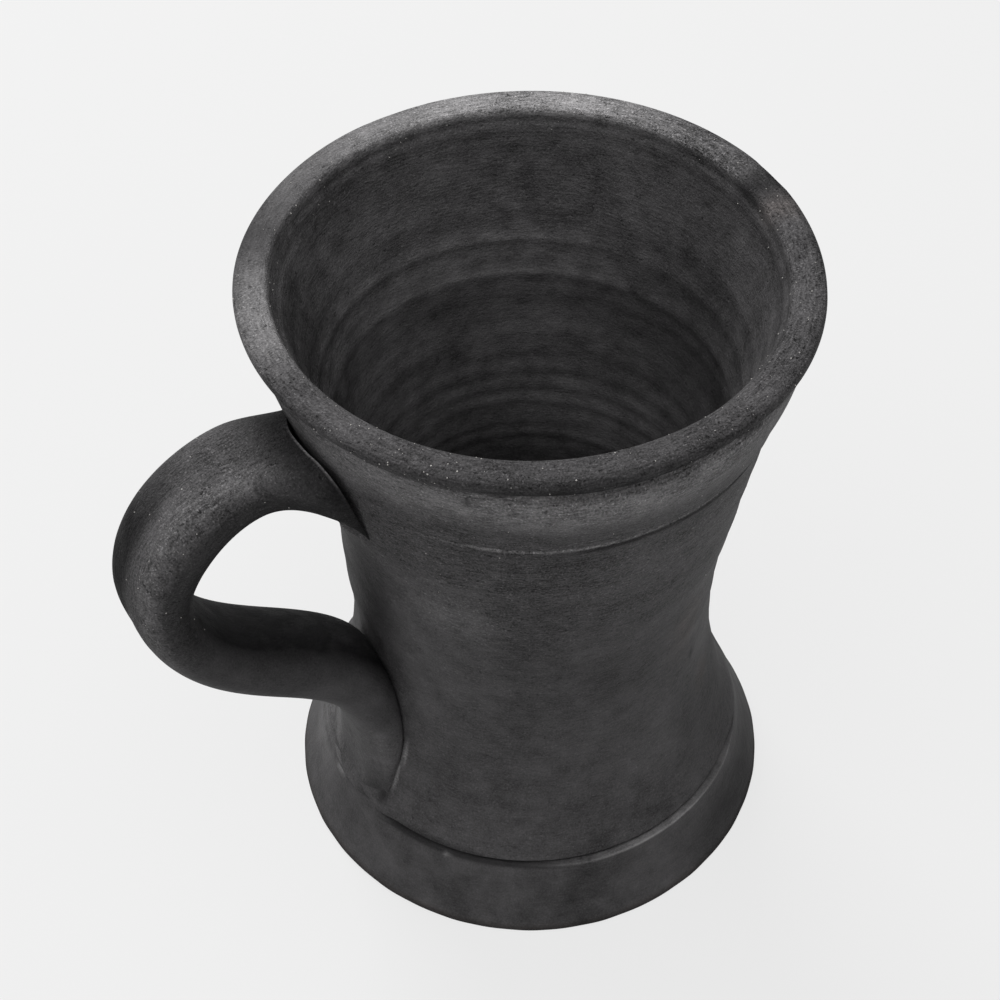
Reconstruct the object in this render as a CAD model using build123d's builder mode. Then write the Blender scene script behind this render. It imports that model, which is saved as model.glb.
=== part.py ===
"""Waisted smoke-black clay mug: a thrown cup, an added foot ring and one pulled handle.

Millimetres, +Z up. The origin is the centre of the flat base on the axis of the
cup, and the handle stands out along -X. The pieces are joined the way a potter
joins them: scored, wetted with slip and pressed together, so each joint has a thin
layer of slip of its own.
"""

import os

from build123d import *

# Cup
HEIGHT = 130.6
RIM_DIAMETER = 100.8  # to the outer corner of the lip, before it is rounded
LIP_TURN = 1.7  # how far that corner turns out of the line of the wall
LIP_HEIGHT = 7.0
LIP_ROUND = 2.0
CUT_LINE_DROP = 21.9  # rim down to the line cut round the wall below the lip
CUT_LINE_DEPTH = 0.4
CUT_LINE_WIDTH = 1.0
WAIST_DIAMETER = 69.4
WAIST_Z = 55.0
WALL = 5.7
UPPER_FLARE = 1.48  # power of the curve from the waist to the rim
LOWER_FLARE = 2.9  # power of the curve from the waist to the foot
FLOOR = 8.0
WELL_Z = 28.0  # below this height the inside runs straight down
WELL_ROUND = 14.0

# Foot ring
FOOT_HEIGHT = 15.2
FOOT_DIAMETER = 95.4
FOOT_SPREAD = 5.9  # how far the foot stands out beyond the wall that it carries
FOOT_HOLLOW = 0.6  # depth of the hollow curve of its side
FOOT_EDGE_ROUND = 1.0
LEDGE = 0.7  # width of its top edge that shows outside the wall
LEDGE_ROUND = 0.5
SPIGOT_INSET = 3.0  # the base of the cup is this much narrower in radius than the wall above it

# Handle: heights, and distances from the outside of the wall to the centre line
ROOT_DROP = 23.5  # rim down to the buried start of the upper root
ROOT_SINK = 6.0
NECK_DROP = 20.9
NECK_OUT = 5.2
CROWN_DROP = 19.8
CROWN_OUT = 12.0
SHOULDER_OUT = 33.8
BOW_OUT = 38.7  # furthest reach of the centre line beyond the waist
ELBOW_OUT = 32.9
ARM_OUT = 19.6
LANDING_Z = 48.0
LANDING_OUT = 4.9
TAIL_Z = 34.0
TAIL_OUT = 1.6
TOE_Z = 23.0
TOE_OUT = 0.5
SHOULDER_SHARE = 0.88  # heights along the bow, as shares of the way from the landing to the crown
BOW_SHARE = 0.70
ELBOW_SHARE = 0.435
ARM_SHARE = 0.24
ROOT_WIDTH = 30.0
ROOT_THICKNESS = 16.0
NECK_WIDTH = 23.0
NECK_THICKNESS = 7.6
STRAP_WIDTH = 18.6
SHOULDER_THICKNESS = 12.2
STRAP_THICKNESS = 11.0
ELBOW_THICKNESS = 10.6
ARM_WIDTH = 17.6
ARM_THICKNESS = 12.6
LANDING_WIDTH = 19.0
LANDING_THICKNESS = 12.6
TAIL_WIDTH = 22.5
TAIL_THICKNESS = 8.6
TOE_WIDTH = 22.0
TOE_THICKNESS = 5.6
TIP_THICKNESS = 3.2
SECTION_FULLNESS = 0.75  # 0.71 gives an ellipse, 1 a rectangle
ROOT_WRAP = 2.2  # how far a section bends round the wall: 1 follows it, more droops at the edges
NECK_WRAP = 0.8
LANDING_WRAP = 0.4
TAIL_WRAP = 1.0

# Joints
SLIP = 0.7  # thickness of the joint that the slip fills
SLIP_FIT = 0.15  # how far the slip under the handle draws back from the clay on each side as it dries
CREASE = 0.5  # how far the slip lies back from the edge of its joint

OUTLINE_STEPS = 6  # along each curve of the wall

waist_radius = WAIST_DIAMETER / 2
rim_radius = RIM_DIAMETER / 2
wall_rim_radius = rim_radius - LIP_TURN
foot_radius = FOOT_DIAMETER / 2
wall_foot_radius = foot_radius - FOOT_SPREAD
foot_top_radius = wall_foot_radius + LEDGE
spigot_radius = wall_foot_radius - SPIGOT_INSET
shoulder_z = FOOT_HEIGHT + SLIP
cut_line_z = HEIGHT - CUT_LINE_DROP
lip_z = HEIGHT - LIP_HEIGHT
crown_z = HEIGHT - CROWN_DROP


def wall_radius(z):
    """Outside radius of the wall at a height: two power curves that meet at the waist."""
    if z < WAIST_Z:
        share = (WAIST_Z - z) / (WAIST_Z - FOOT_HEIGHT)
        return waist_radius + (wall_foot_radius - waist_radius) * share**LOWER_FLARE
    share = (z - WAIST_Z) / (HEIGHT - WAIST_Z)
    return waist_radius + (wall_rim_radius - waist_radius) * share**UPPER_FLARE


def wall_line(z_from, z_to, grow=0.0):
    """Points of the wall's outline between two heights, moved out by grow."""
    step = (z_to - z_from) / OUTLINE_STEPS
    heights = [z_from + step * i for i in range(OUTLINE_STEPS + 1)]
    return [(wall_radius(z) + grow, z) for z in heights]


well_radius = wall_radius(WELL_Z) - WALL

# Thrown cup: floor, wall and lip from one lump of clay
with BuildPart() as thrown_cup:
    with BuildSketch(Plane.XZ) as cup_section:
        with BuildLine():
            Polyline((0, FLOOR), (0, 0), (spigot_radius, 0), (spigot_radius, shoulder_z))
            Line((spigot_radius, shoulder_z), (wall_radius(shoulder_z), shoulder_z))
            Spline(wall_line(shoulder_z, WAIST_Z))
            Spline(wall_line(WAIST_Z, lip_z))
            Line((wall_radius(lip_z), lip_z), (rim_radius, HEIGHT))
            Line((rim_radius, HEIGHT), (wall_rim_radius - WALL, HEIGHT))
            Spline(wall_line(HEIGHT, WAIST_Z, -WALL))
            Spline(wall_line(WAIST_Z, WELL_Z, -WALL))
            Line((well_radius, WELL_Z), (well_radius, FLOOR))
            Line((well_radius, FLOOR), (0, FLOOR))
        make_face()
        fillet(cup_section.vertices().group_by(Axis.Y)[-1], LIP_ROUND)
        fillet(cup_section.vertices().sort_by_distance((well_radius, FLOOR))[0], WELL_ROUND)
    revolve(axis=Axis.Z)
    with BuildSketch(Plane.XZ):
        with BuildLine():
            Polyline(
                (wall_radius(cut_line_z) + CUT_LINE_DEPTH, cut_line_z - CUT_LINE_WIDTH),
                (wall_radius(cut_line_z) - CUT_LINE_DEPTH, cut_line_z),
                (wall_radius(cut_line_z) + CUT_LINE_DEPTH, cut_line_z + CUT_LINE_WIDTH),
                close=True,
            )
        make_face()
    revolve(axis=Axis.Z, mode=Mode.SUBTRACT)

# Foot ring: pressed on round the base of the cup, its top edge standing out as a ledge
with BuildPart() as foot_ring:
    with BuildSketch(Plane.XZ) as foot_section:
        with BuildLine():
            Line((spigot_radius + SLIP, 0), (foot_radius, 0))
            SagittaArc((foot_radius, 0), (foot_top_radius, FOOT_HEIGHT), FOOT_HOLLOW)
            Line((foot_top_radius, FOOT_HEIGHT), (spigot_radius + SLIP, FOOT_HEIGHT))
            Line((spigot_radius + SLIP, FOOT_HEIGHT), (spigot_radius + SLIP, 0))
        make_face()
        fillet(foot_section.vertices().group_by(Axis.Y)[-1].sort_by(Axis.X)[-1], LEDGE_ROUND)
        fillet(foot_section.vertices().group_by(Axis.Y)[0].sort_by(Axis.X)[-1], FOOT_EDGE_ROUND)
    revolve(axis=Axis.Z)

# Slip that fills the joint between the cup's base and the foot ring
with BuildPart() as foot_slip:
    with BuildSketch(Plane.XZ):
        with BuildLine():
            Polyline(
                (spigot_radius, 0),
                (spigot_radius + SLIP, 0),
                (spigot_radius + SLIP, FOOT_HEIGHT),
                (wall_radius(shoulder_z) - CREASE, FOOT_HEIGHT),
                (wall_radius(shoulder_z) - CREASE, shoulder_z),
                (spigot_radius, shoulder_z),
                close=True,
            )
        make_face()
    revolve(axis=Axis.Z)


def slip_layer(z_low, z_high):
    """Slip all round the outside of the wall between two heights, as thick as the joint less its fit."""
    inner = SLIP_FIT
    outer = SLIP - SLIP_FIT
    with BuildPart() as layer:
        with BuildSketch(Plane.XZ):
            with BuildLine():
                Spline(wall_line(z_low, z_high, inner))
                Line((wall_radius(z_high) + inner, z_high), (wall_radius(z_high) + outer, z_high))
                Spline(wall_line(z_high, z_low, outer))
                Line((wall_radius(z_low) + outer, z_low), (wall_radius(z_low) + inner, z_low))
            make_face()
        revolve(axis=Axis.Z)
    return layer.part


def handle_seat():
    """The body that the handle is pressed against: cup and foot ring, grown by the slip."""
    with BuildPart() as seat:
        with BuildSketch(Plane.XZ):
            with BuildLine():
                Polyline(
                    (wall_radius(lip_z) + SLIP, lip_z),
                    (0, lip_z),
                    (0, 0),
                    (foot_radius, 0),
                    (foot_radius, shoulder_z),
                    (wall_radius(shoulder_z) + SLIP, shoulder_z),
                )
                Spline(wall_line(shoulder_z, WAIST_Z, SLIP))
                Spline(wall_line(WAIST_Z, lip_z, SLIP))
            make_face()
        revolve(axis=Axis.Z)
    return seat.part


def beside_wall(z, out):
    """A point of the handle's centre line, out from the wall at a height."""
    return (-wall_radius(z) - out, 0, z)


def on_bow(share, out):
    """A point of the handle's bow, at a share of its height and out from the waist."""
    return (-waist_radius - out, 0, LANDING_Z + share * (crown_z - LANDING_Z))


# Point, width, thickness and wrap of each section, from the upper root to the tip of the tail
stations = [
    (beside_wall(HEIGHT - ROOT_DROP, -ROOT_SINK), ROOT_WIDTH, ROOT_THICKNESS, ROOT_WRAP),
    (beside_wall(HEIGHT - NECK_DROP, NECK_OUT), NECK_WIDTH, NECK_THICKNESS, NECK_WRAP),
    (beside_wall(crown_z, CROWN_OUT), STRAP_WIDTH, STRAP_THICKNESS, 0.0),
    (on_bow(SHOULDER_SHARE, SHOULDER_OUT), STRAP_WIDTH, SHOULDER_THICKNESS, 0.0),
    (on_bow(BOW_SHARE, BOW_OUT), STRAP_WIDTH, STRAP_THICKNESS, 0.0),
    (on_bow(ELBOW_SHARE, ELBOW_OUT), STRAP_WIDTH, ELBOW_THICKNESS, 0.0),
    (on_bow(ARM_SHARE, ARM_OUT), ARM_WIDTH, ARM_THICKNESS, 0.0),
    (beside_wall(LANDING_Z, LANDING_OUT), LANDING_WIDTH, LANDING_THICKNESS, LANDING_WRAP),
    (beside_wall(TAIL_Z, TAIL_OUT), TAIL_WIDTH, TAIL_THICKNESS, TAIL_WRAP),
    (beside_wall(TOE_Z, TOE_OUT), TOE_WIDTH, TOE_THICKNESS, TAIL_WRAP),
    (beside_wall(FOOT_HEIGHT, 0), TOE_WIDTH, TIP_THICKNESS, TAIL_WRAP),
]


def pulled_strap(inset):
    """The whole handle, its two ends running into the wall, thinned all round by inset."""
    with BuildLine(mode=Mode.PRIVATE) as centre_line:
        Spline([station[0] for station in stations])
    centre = centre_line.edge()
    with BuildPart() as strap:
        for point, width, thickness, wrap in stations:
            along = centre.tangent_at(centre.param_at_point(point))
            side = width / 2 - inset
            face = thickness / 2 - inset
            corner_side = SECTION_FULLNESS * side
            corner_face = SECTION_FULLNESS * face
            bend = wrap * side**2 / (2 * wall_radius(point[2]))
            corner_bend = SECTION_FULLNESS**2 * bend
            with BuildSketch(Plane(origin=point, x_dir=(0, 1, 0), z_dir=along)):
                with BuildLine():
                    Spline(
                        (side, bend),
                        (corner_side, corner_bend + corner_face),
                        (0, face),
                        (-corner_side, corner_bend + corner_face),
                        (-side, bend),
                        (-corner_side, corner_bend - corner_face),
                        (0, -face),
                        (corner_side, corner_bend - corner_face),
                        periodic=True,
                    )
                make_face()
        loft()
    return strap.part


# Pulled handle: one strap of clay, flared where it is pressed to the wall at both ends
with BuildPart() as handle:
    add(pulled_strap(0.0))
    add(handle_seat(), mode=Mode.SUBTRACT)

# Slip under the upper root, lying a little back from the edges of the joint
with BuildPart() as upper_handle_slip:
    add(slip_layer(WAIST_Z, lip_z))
    add(pulled_strap(CREASE), mode=Mode.INTERSECT)

# Slip under the tail
with BuildPart() as lower_handle_slip:
    add(slip_layer(shoulder_z, WAIST_Z))
    add(pulled_strap(CREASE), mode=Mode.INTERSECT)

pieces = {
    "thrown_cup": thrown_cup,
    "foot_ring": foot_ring,
    "foot_slip": foot_slip,
    "handle": handle,
    "upper_handle_slip": upper_handle_slip,
    "lower_handle_slip": lower_handle_slip,
}
os.makedirs("parts", exist_ok=True)
for name, piece in pieces.items():
    piece.part.label = name
    export_step(piece.part, f"parts/{name}.step")
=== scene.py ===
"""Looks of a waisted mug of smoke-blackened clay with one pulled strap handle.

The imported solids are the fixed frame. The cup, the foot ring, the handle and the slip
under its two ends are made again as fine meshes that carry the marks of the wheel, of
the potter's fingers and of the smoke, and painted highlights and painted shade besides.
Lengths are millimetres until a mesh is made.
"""

import logging
import math
from collections.abc import Callable, Mapping, Sequence
from dataclasses import dataclass, field
from enum import Enum
from typing import Any

import bpy
import numpy as np
from mathutils import Matrix, Vector
from mathutils.bvhtree import BVHTree


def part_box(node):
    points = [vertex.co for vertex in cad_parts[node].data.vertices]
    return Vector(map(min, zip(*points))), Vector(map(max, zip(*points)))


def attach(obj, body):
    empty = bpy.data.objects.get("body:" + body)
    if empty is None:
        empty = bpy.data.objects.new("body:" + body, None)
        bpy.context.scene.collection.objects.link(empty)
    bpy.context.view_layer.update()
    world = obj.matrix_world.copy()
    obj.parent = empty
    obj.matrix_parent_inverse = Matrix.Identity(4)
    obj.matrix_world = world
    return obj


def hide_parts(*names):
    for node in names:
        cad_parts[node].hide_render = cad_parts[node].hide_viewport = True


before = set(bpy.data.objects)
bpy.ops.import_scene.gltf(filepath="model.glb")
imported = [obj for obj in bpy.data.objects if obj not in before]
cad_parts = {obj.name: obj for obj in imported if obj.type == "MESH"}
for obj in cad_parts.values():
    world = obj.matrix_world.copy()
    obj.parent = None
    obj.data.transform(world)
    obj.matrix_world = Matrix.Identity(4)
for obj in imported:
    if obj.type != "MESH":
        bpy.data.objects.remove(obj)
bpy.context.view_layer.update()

MM = 0.001
FULL_TURN = 2.0 * math.pi
STROKE_RADIUS = 42.0

Waves = tuple[tuple[float, float, float], ...]
Colour = tuple[float, float, float, float]

log = logging.getLogger("mug")


def ease(value: np.ndarray | float, low: float, high: float) -> np.ndarray:
    """Rises smoothly from 0 at low to 1 at high."""
    share = np.clip((np.asarray(value, float) - low) / (high - low), 0.0, 1.0)
    return share * share * (3.0 - 2.0 * share)


def hump(value: np.ndarray | float, middle: float, reach: float) -> np.ndarray:
    """A smooth hill of height 1 at the middle, which ends at its reach to each side."""
    away = np.clip(np.abs(np.asarray(value, float) - middle) / reach, 0.0, 1.0)
    return 0.5 + 0.5 * np.cos(math.pi * away)


def turn_from(theta: np.ndarray, middle: float) -> np.ndarray:
    """Signed angle from a middle direction, both in degrees, from -180 to 180."""
    return (theta - middle + 180.0) % 360.0 - 180.0


def spline_through(knots: np.ndarray, values: np.ndarray, at: np.ndarray) -> np.ndarray:
    """Natural cubic spline through rows of values.

    Args:
        knots: Parameter of each row, rising.
        values: One row per knot.
        at: Parameters to read.

    Returns:
        One row per parameter.
    """
    count = len(knots)
    gap = np.diff(knots)
    slope = np.diff(values, axis=0) / gap[:, None]
    system = np.eye(count)
    wanted = np.zeros_like(values)
    for i in range(1, count - 1):
        system[i, i - 1 : i + 2] = (gap[i - 1], 2.0 * (gap[i - 1] + gap[i]), gap[i])
        wanted[i] = 6.0 * (slope[i] - slope[i - 1])
    curve = np.linalg.solve(system, wanted)
    i = np.clip(np.searchsorted(knots, at) - 1, 0, count - 2)
    h = gap[i][:, None]
    a = (knots[i + 1] - at)[:, None] / h
    b = 1.0 - a
    bow = ((a**3 - a) * curve[i] + (b**3 - b) * curve[i + 1]) * h**2 / 6.0
    return a * values[i] + b * values[i + 1] + bow


def run_length(points: np.ndarray) -> np.ndarray:
    """Length along a line of points, from its first point to each of them."""
    steps = np.linalg.norm(np.diff(points, axis=0), axis=1)
    return np.concatenate(([0.0], np.cumsum(steps)))


def lobe(theta: np.ndarray, middle: float, reach: float) -> np.ndarray:
    """A smooth hill of height 1 round a direction, for angles in degrees."""
    return hump(turn_from(theta, middle), 0.0, reach)


def wavy(radians: np.ndarray, waves: Waves) -> np.ndarray:
    """A sum of sine waves round the axis, each with its height, its count and its phase."""
    return sum(height * np.sin(count * radians + phase) for height, count, phase in waves)


def grid(x: np.ndarray, y: np.ndarray, z: np.ndarray) -> np.ndarray:
    """Points from three coordinates, each spread over the whole grid."""
    return np.stack(np.broadcast_arrays(x, y, z), axis=-1)


def ring_strokes(radians: np.ndarray, rows: np.ndarray) -> np.ndarray:
    """The place of each point along and across the throwing lines of a turned piece."""
    x, y = STROKE_RADIUS * np.cos(radians), STROKE_RADIUS * np.sin(radians)
    return grid(x, y, run_length(rows)[:, None])


def arc(
    middle: tuple[float, float], radius: float, turns: tuple[float, float], count: int
) -> list[tuple[float, float]]:
    """A round corner of a half section.

    Args:
        middle: Radius and height of the corner's centre.
        radius: The corner's own radius.
        turns: Its first and last angle in degrees, from outwards at 0 to up at 90.
        count: How many points it has.

    Returns:
        Radius and height of each point.
    """
    radians = np.radians(np.linspace(*turns, count))
    return list(zip(middle[0] + radius * np.cos(radians), middle[1] + radius * np.sin(radians)))


class Zone(Enum):
    """The parts of the cup's outline."""

    BASE = 0
    OUTSIDE = 1
    LIP = 2
    INSIDE = 3


class Mark(Enum):
    """What the finish reads at each vertex, as a share from 0 to 1."""

    # The first two shares lay rubbed wear with painted highlights, and soot with painted shade
    WEAR_AND_HIGHLIGHT = "wear_and_highlight"
    SOOT_AND_SHADE = "soot_and_shade"
    EARTH = "earth"
    COARSE = "coarse"
    GRIT = "grit"


@dataclass(frozen=True)
class Patch:
    """A soft-edged oval mark on a turned surface.

    Fields are the kind of mark, the zone, the middle as a turn in degrees and a height,
    the reach to each side in degrees and in millimetres, and the strength.
    """

    mark: Mark
    zone: Zone
    turn: float
    height: float
    reach_turn: float
    reach_height: float
    amount: float

    def shares(self, theta: np.ndarray, z: np.ndarray) -> np.ndarray:
        """Strength of the mark at each angle in degrees and height."""
        across = turn_from(theta, self.turn) / self.reach_turn
        up = (z - self.height) / self.reach_height
        return self.amount * hump(np.hypot(across, up), 0.0, 1.0)


def placed(name: str, data: bpy.types.ID) -> bpy.types.Object:
    """Adds an object to the scene.

    Args:
        name: The object's name.
        data: Its mesh, light or camera.

    Returns:
        The new object.
    """
    obj = bpy.data.objects.new(name, data)
    bpy.context.scene.collection.objects.link(obj)
    return obj


@dataclass
class Skin:
    """A closed mesh as a grid of rows and columns, with what the finish reads at each point.

    The columns close on themselves. On a ring the rows do too, and otherwise a pole point
    closes the first and the last row. The thrown share says how deep the lines of the
    wheel or of the pulling hand go.
    """

    points: np.ndarray
    stroke: np.ndarray
    marks: dict[Mark, np.ndarray]
    thrown: np.ndarray | None = None
    ring: bool = False

    def faces(self) -> list[Sequence[int]]:
        """The mesh's faces, facing outwards.

        Returns:
            Quads between the rows and, unless it is a ring, fans of triangles at both ends.
        """
        rows, columns = self.points.shape[:2]
        index = np.arange(rows * columns).reshape(rows, columns)
        after = np.roll(index, -1, axis=1)
        quads = np.stack((index, after, np.roll(after, -1, axis=0), np.roll(index, -1, axis=0)), axis=-1)
        if self.ring:
            return quads.reshape(-1, 4).tolist()
        first, last = rows * columns, rows * columns + 1
        faces = quads[:-1].reshape(-1, 4).tolist()
        faces += [(first, b, a) for a, b in zip(index[0].tolist(), after[0].tolist())]
        faces += [(a, b, last) for a, b in zip(index[-1].tolist(), after[-1].tolist())]
        return faces

    def with_poles(self, values: np.ndarray) -> np.ndarray:
        """One flat list of values, ended by the means of the first and of the last row.

        Args:
            values: One value or vector for each point of the grid.

        Returns:
            The list. A ring's has no means, because it has no poles.
        """
        wide = values.reshape(values.shape[0] * values.shape[1], -1)
        if self.ring:
            return wide
        ends = (values[0].mean(axis=0), values[-1].mean(axis=0))
        return np.concatenate((wide, np.reshape(ends, (2, -1))))

    def piece(self, name: str) -> bpy.types.Object:
        """Turns the grid into a mesh object.

        Args:
            name: The piece's name.

        Returns:
            The new object, at the origin.
        """
        mesh = bpy.data.meshes.new(name)
        mesh.from_pydata((self.with_poles(self.points) * MM).tolist(), [], self.faces())
        shares = {mark.value: values for mark, values in self.marks.items()}
        if self.thrown is not None:
            shares["thrown"] = self.thrown
        for title, values in shares.items():
            layer = mesh.attributes.new(title, "FLOAT", "POINT")
            layer.data.foreach_set("value", self.with_poles(values).ravel())
        layer = mesh.attributes.new("stroke", "FLOAT_VECTOR", "POINT")
        layer.data.foreach_set("vector", self.with_poles(self.stroke).ravel())
        mesh.shade_smooth()
        mesh.validate()
        return placed(name, mesh)


def blank_marks(shape: tuple[int, ...]) -> dict[Mark, np.ndarray]:
    """No marks yet, one grid for each kind."""
    return {mark: np.zeros(shape) for mark in Mark}


def clipped(marks: dict[Mark, np.ndarray]) -> dict[Mark, np.ndarray]:
    """The marks, with each share kept from 0 to 1."""
    return {mark: np.clip(shares, 0.0, 1.0) for mark, shares in marks.items()}


def fit_piece(obj: bpy.types.Object, nodes: Sequence[str] = ()) -> None:
    """Lets a piece ride on the mug and stand for its solids.

    Args:
        obj: The finished piece.
        nodes: The solids that the piece stands for.
    """
    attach(obj, "root")
    if nodes:
        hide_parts(*nodes)
    log.info("%s: %d faces", obj.name, len(obj.data.polygons))


def math_method(operation: str, swapped: bool = False) -> Callable[["Sock", Any], "Sock"]:
    """Makes the method of one operator.

    Args:
        operation: What its Math node does.
        swapped: Whether the other operand stands first, as in 1 - mask.

    Returns:
        The method, which adds the node.
    """

    def operate(self: "Sock", other: Any) -> "Sock":
        """The result of the Math node."""
        return self.maths(operation, other, self) if swapped else self.maths(operation, self, other)

    return operate


class Sock:
    """A node's output that takes part in arithmetic. Each operation adds a Math node."""

    __add__ = math_method("ADD")
    __radd__ = math_method("ADD", swapped=True)
    __sub__ = math_method("SUBTRACT")
    __rsub__ = math_method("SUBTRACT", swapped=True)
    __mul__ = math_method("MULTIPLY")
    __rmul__ = math_method("MULTIPLY", swapped=True)
    __truediv__ = math_method("DIVIDE")

    def __init__(self, graph: "Graph", socket: bpy.types.NodeSocket) -> None:
        """Keeps the graph and the socket."""
        self.graph = graph
        self.socket = socket

    def maths(self, operation: str, *values: Any) -> "Sock":
        """The result of a Math node."""
        return self.graph.sock("ShaderNodeMath", {"operation": operation}, dict(enumerate(values)))

    def sine(self) -> "Sock":
        """The sine of a value in radians."""
        return self.maths("SINE", self)

    def ease(self, low: float, high: float) -> "Sock":
        """Rises smoothly from 0 at low to 1 at high."""
        inputs = {"Value": self, "From Min": low, "From Max": high}
        return self.graph.sock("ShaderNodeMapRange", {"interpolation_type": "SMOOTHSTEP"}, inputs)

    def between(self, low: float, high: float) -> "Sock":
        """The value, kept between two limits."""
        return self.maths("MINIMUM", self.maths("MAXIMUM", self, low), high)


@dataclass(frozen=True)
class Noise:
    """One layer of soft noise: features to a unit of length, finer layers and their strength."""

    scale: float
    detail: float
    roughness: float = 0.5


class Graph:
    """Adds nodes to one node tree and links them."""

    def __init__(self, tree: bpy.types.NodeTree) -> None:
        """Keeps the tree."""
        self.tree = tree

    def feed(self, socket: bpy.types.NodeSocket, value: Any) -> None:
        """Links a Sock to an input, or sets the input to a plain value."""
        if isinstance(value, Sock):
            self.tree.links.new(value.socket, socket)
        else:
            socket.default_value = value

    def node(
        self,
        kind: str,
        settings: Mapping[str, Any] | None = None,
        inputs: Mapping[str | int, Any] | None = None,
    ) -> bpy.types.Node:
        """Adds one node.

        Args:
            kind: The node's type.
            settings: Its own options, set before its sockets.
            inputs: Values or Socks by socket identifier, name or number.

        Returns:
            The new node.
        """
        made = self.tree.nodes.new(kind)
        for name, value in (settings or {}).items():
            setattr(made, name, value)
        for key, value in (inputs or {}).items():
            self.feed(self.input_of(made, key), value)
        return made

    @staticmethod
    def input_of(node: bpy.types.Node, key: str | int) -> bpy.types.NodeSocket:
        """An input of a node by identifier, name or number."""
        if isinstance(key, int):
            return node.inputs[key]
        by_identifier = {socket.identifier: socket for socket in node.inputs}
        return by_identifier.get(key) or node.inputs[key]

    def sock(
        self,
        kind: str,
        settings: Mapping[str, Any] | None = None,
        inputs: Mapping[str | int, Any] | None = None,
        output: str | int = 0,
    ) -> Sock:
        """Adds one node and gives one of its outputs.

        Args:
            kind: The node's type.
            settings: Its own options.
            inputs: Values or Socks by socket.
            output: The output's name or number.

        Returns:
            The output.
        """
        return Sock(self, self.node(kind, settings, inputs).outputs[output])

    def mix(self, share: Sock, plain: Any, other: Any) -> Sock:
        """A colour between two colours."""
        inputs = {"Factor_Float": share, "A_Color": plain, "B_Color": other}
        node = self.node("ShaderNodeMix", {"data_type": "RGBA"}, inputs)
        return Sock(self, next(s for s in node.outputs if s.identifier == "Result_Color"))

    def scaled(self, vector: Sock, scale: Any) -> Sock:
        """A vector times a number."""
        return self.sock("ShaderNodeVectorMath", {"operation": "SCALE"}, {0: vector, "Scale": scale})

    def times(self, vector: Any, other: Any) -> Sock:
        """A vector or colour times another, channel by channel."""
        return self.sock("ShaderNodeVectorMath", {"operation": "MULTIPLY"}, {0: vector, 1: other})

    def tinted(self, colour: Any, tone: Sock) -> Sock:
        """A colour made lighter or darker by a tone."""
        return self.times(colour, self.sock("ShaderNodeCombineXYZ", {}, {0: tone, 1: tone, 2: tone}))

    def stretched(self, stroke: Sock, along: float, across: float) -> Sock:
        """A stroke's place, measured along and across it on two scales."""
        return self.times(stroke, (along, along, across))

    def place(self) -> Sock:
        """Object coordinates in millimetres."""
        return self.scaled(self.sock("ShaderNodeTexCoord", output="Object"), 1.0 / MM)

    def attribute(self, name: str, output: str = "Fac") -> Sock:
        """One of the piece's own attributes, in a material."""
        return self.sock("ShaderNodeAttribute", {"attribute_name": name}, output=output)

    def noise(self, where: Sock, layer: Noise) -> Sock:
        """Soft noise from 0 to 1, around one half."""
        inputs = {"Scale": layer.scale, "Detail": layer.detail, "Roughness": layer.roughness}
        return self.sock("ShaderNodeTexNoise", {}, {"Vector": where, **inputs})


def grey(level: float, warmth: float = 0.0) -> Colour:
    """An opaque grey, a little warm or, below zero, a little cold."""
    return (level * (1.0 + warmth), level, level * (1.0 - warmth), 1.0)


def principled(name: str) -> tuple[bpy.types.Material, Graph, bpy.types.Node]:
    """Makes a node material.

    Args:
        name: Its name.

    Returns:
        The material, its graph and its shader node.
    """
    material = bpy.data.materials.new(name)
    material.use_nodes = True
    return material, Graph(material.node_tree), material.node_tree.nodes["Principled BSDF"]


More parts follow.
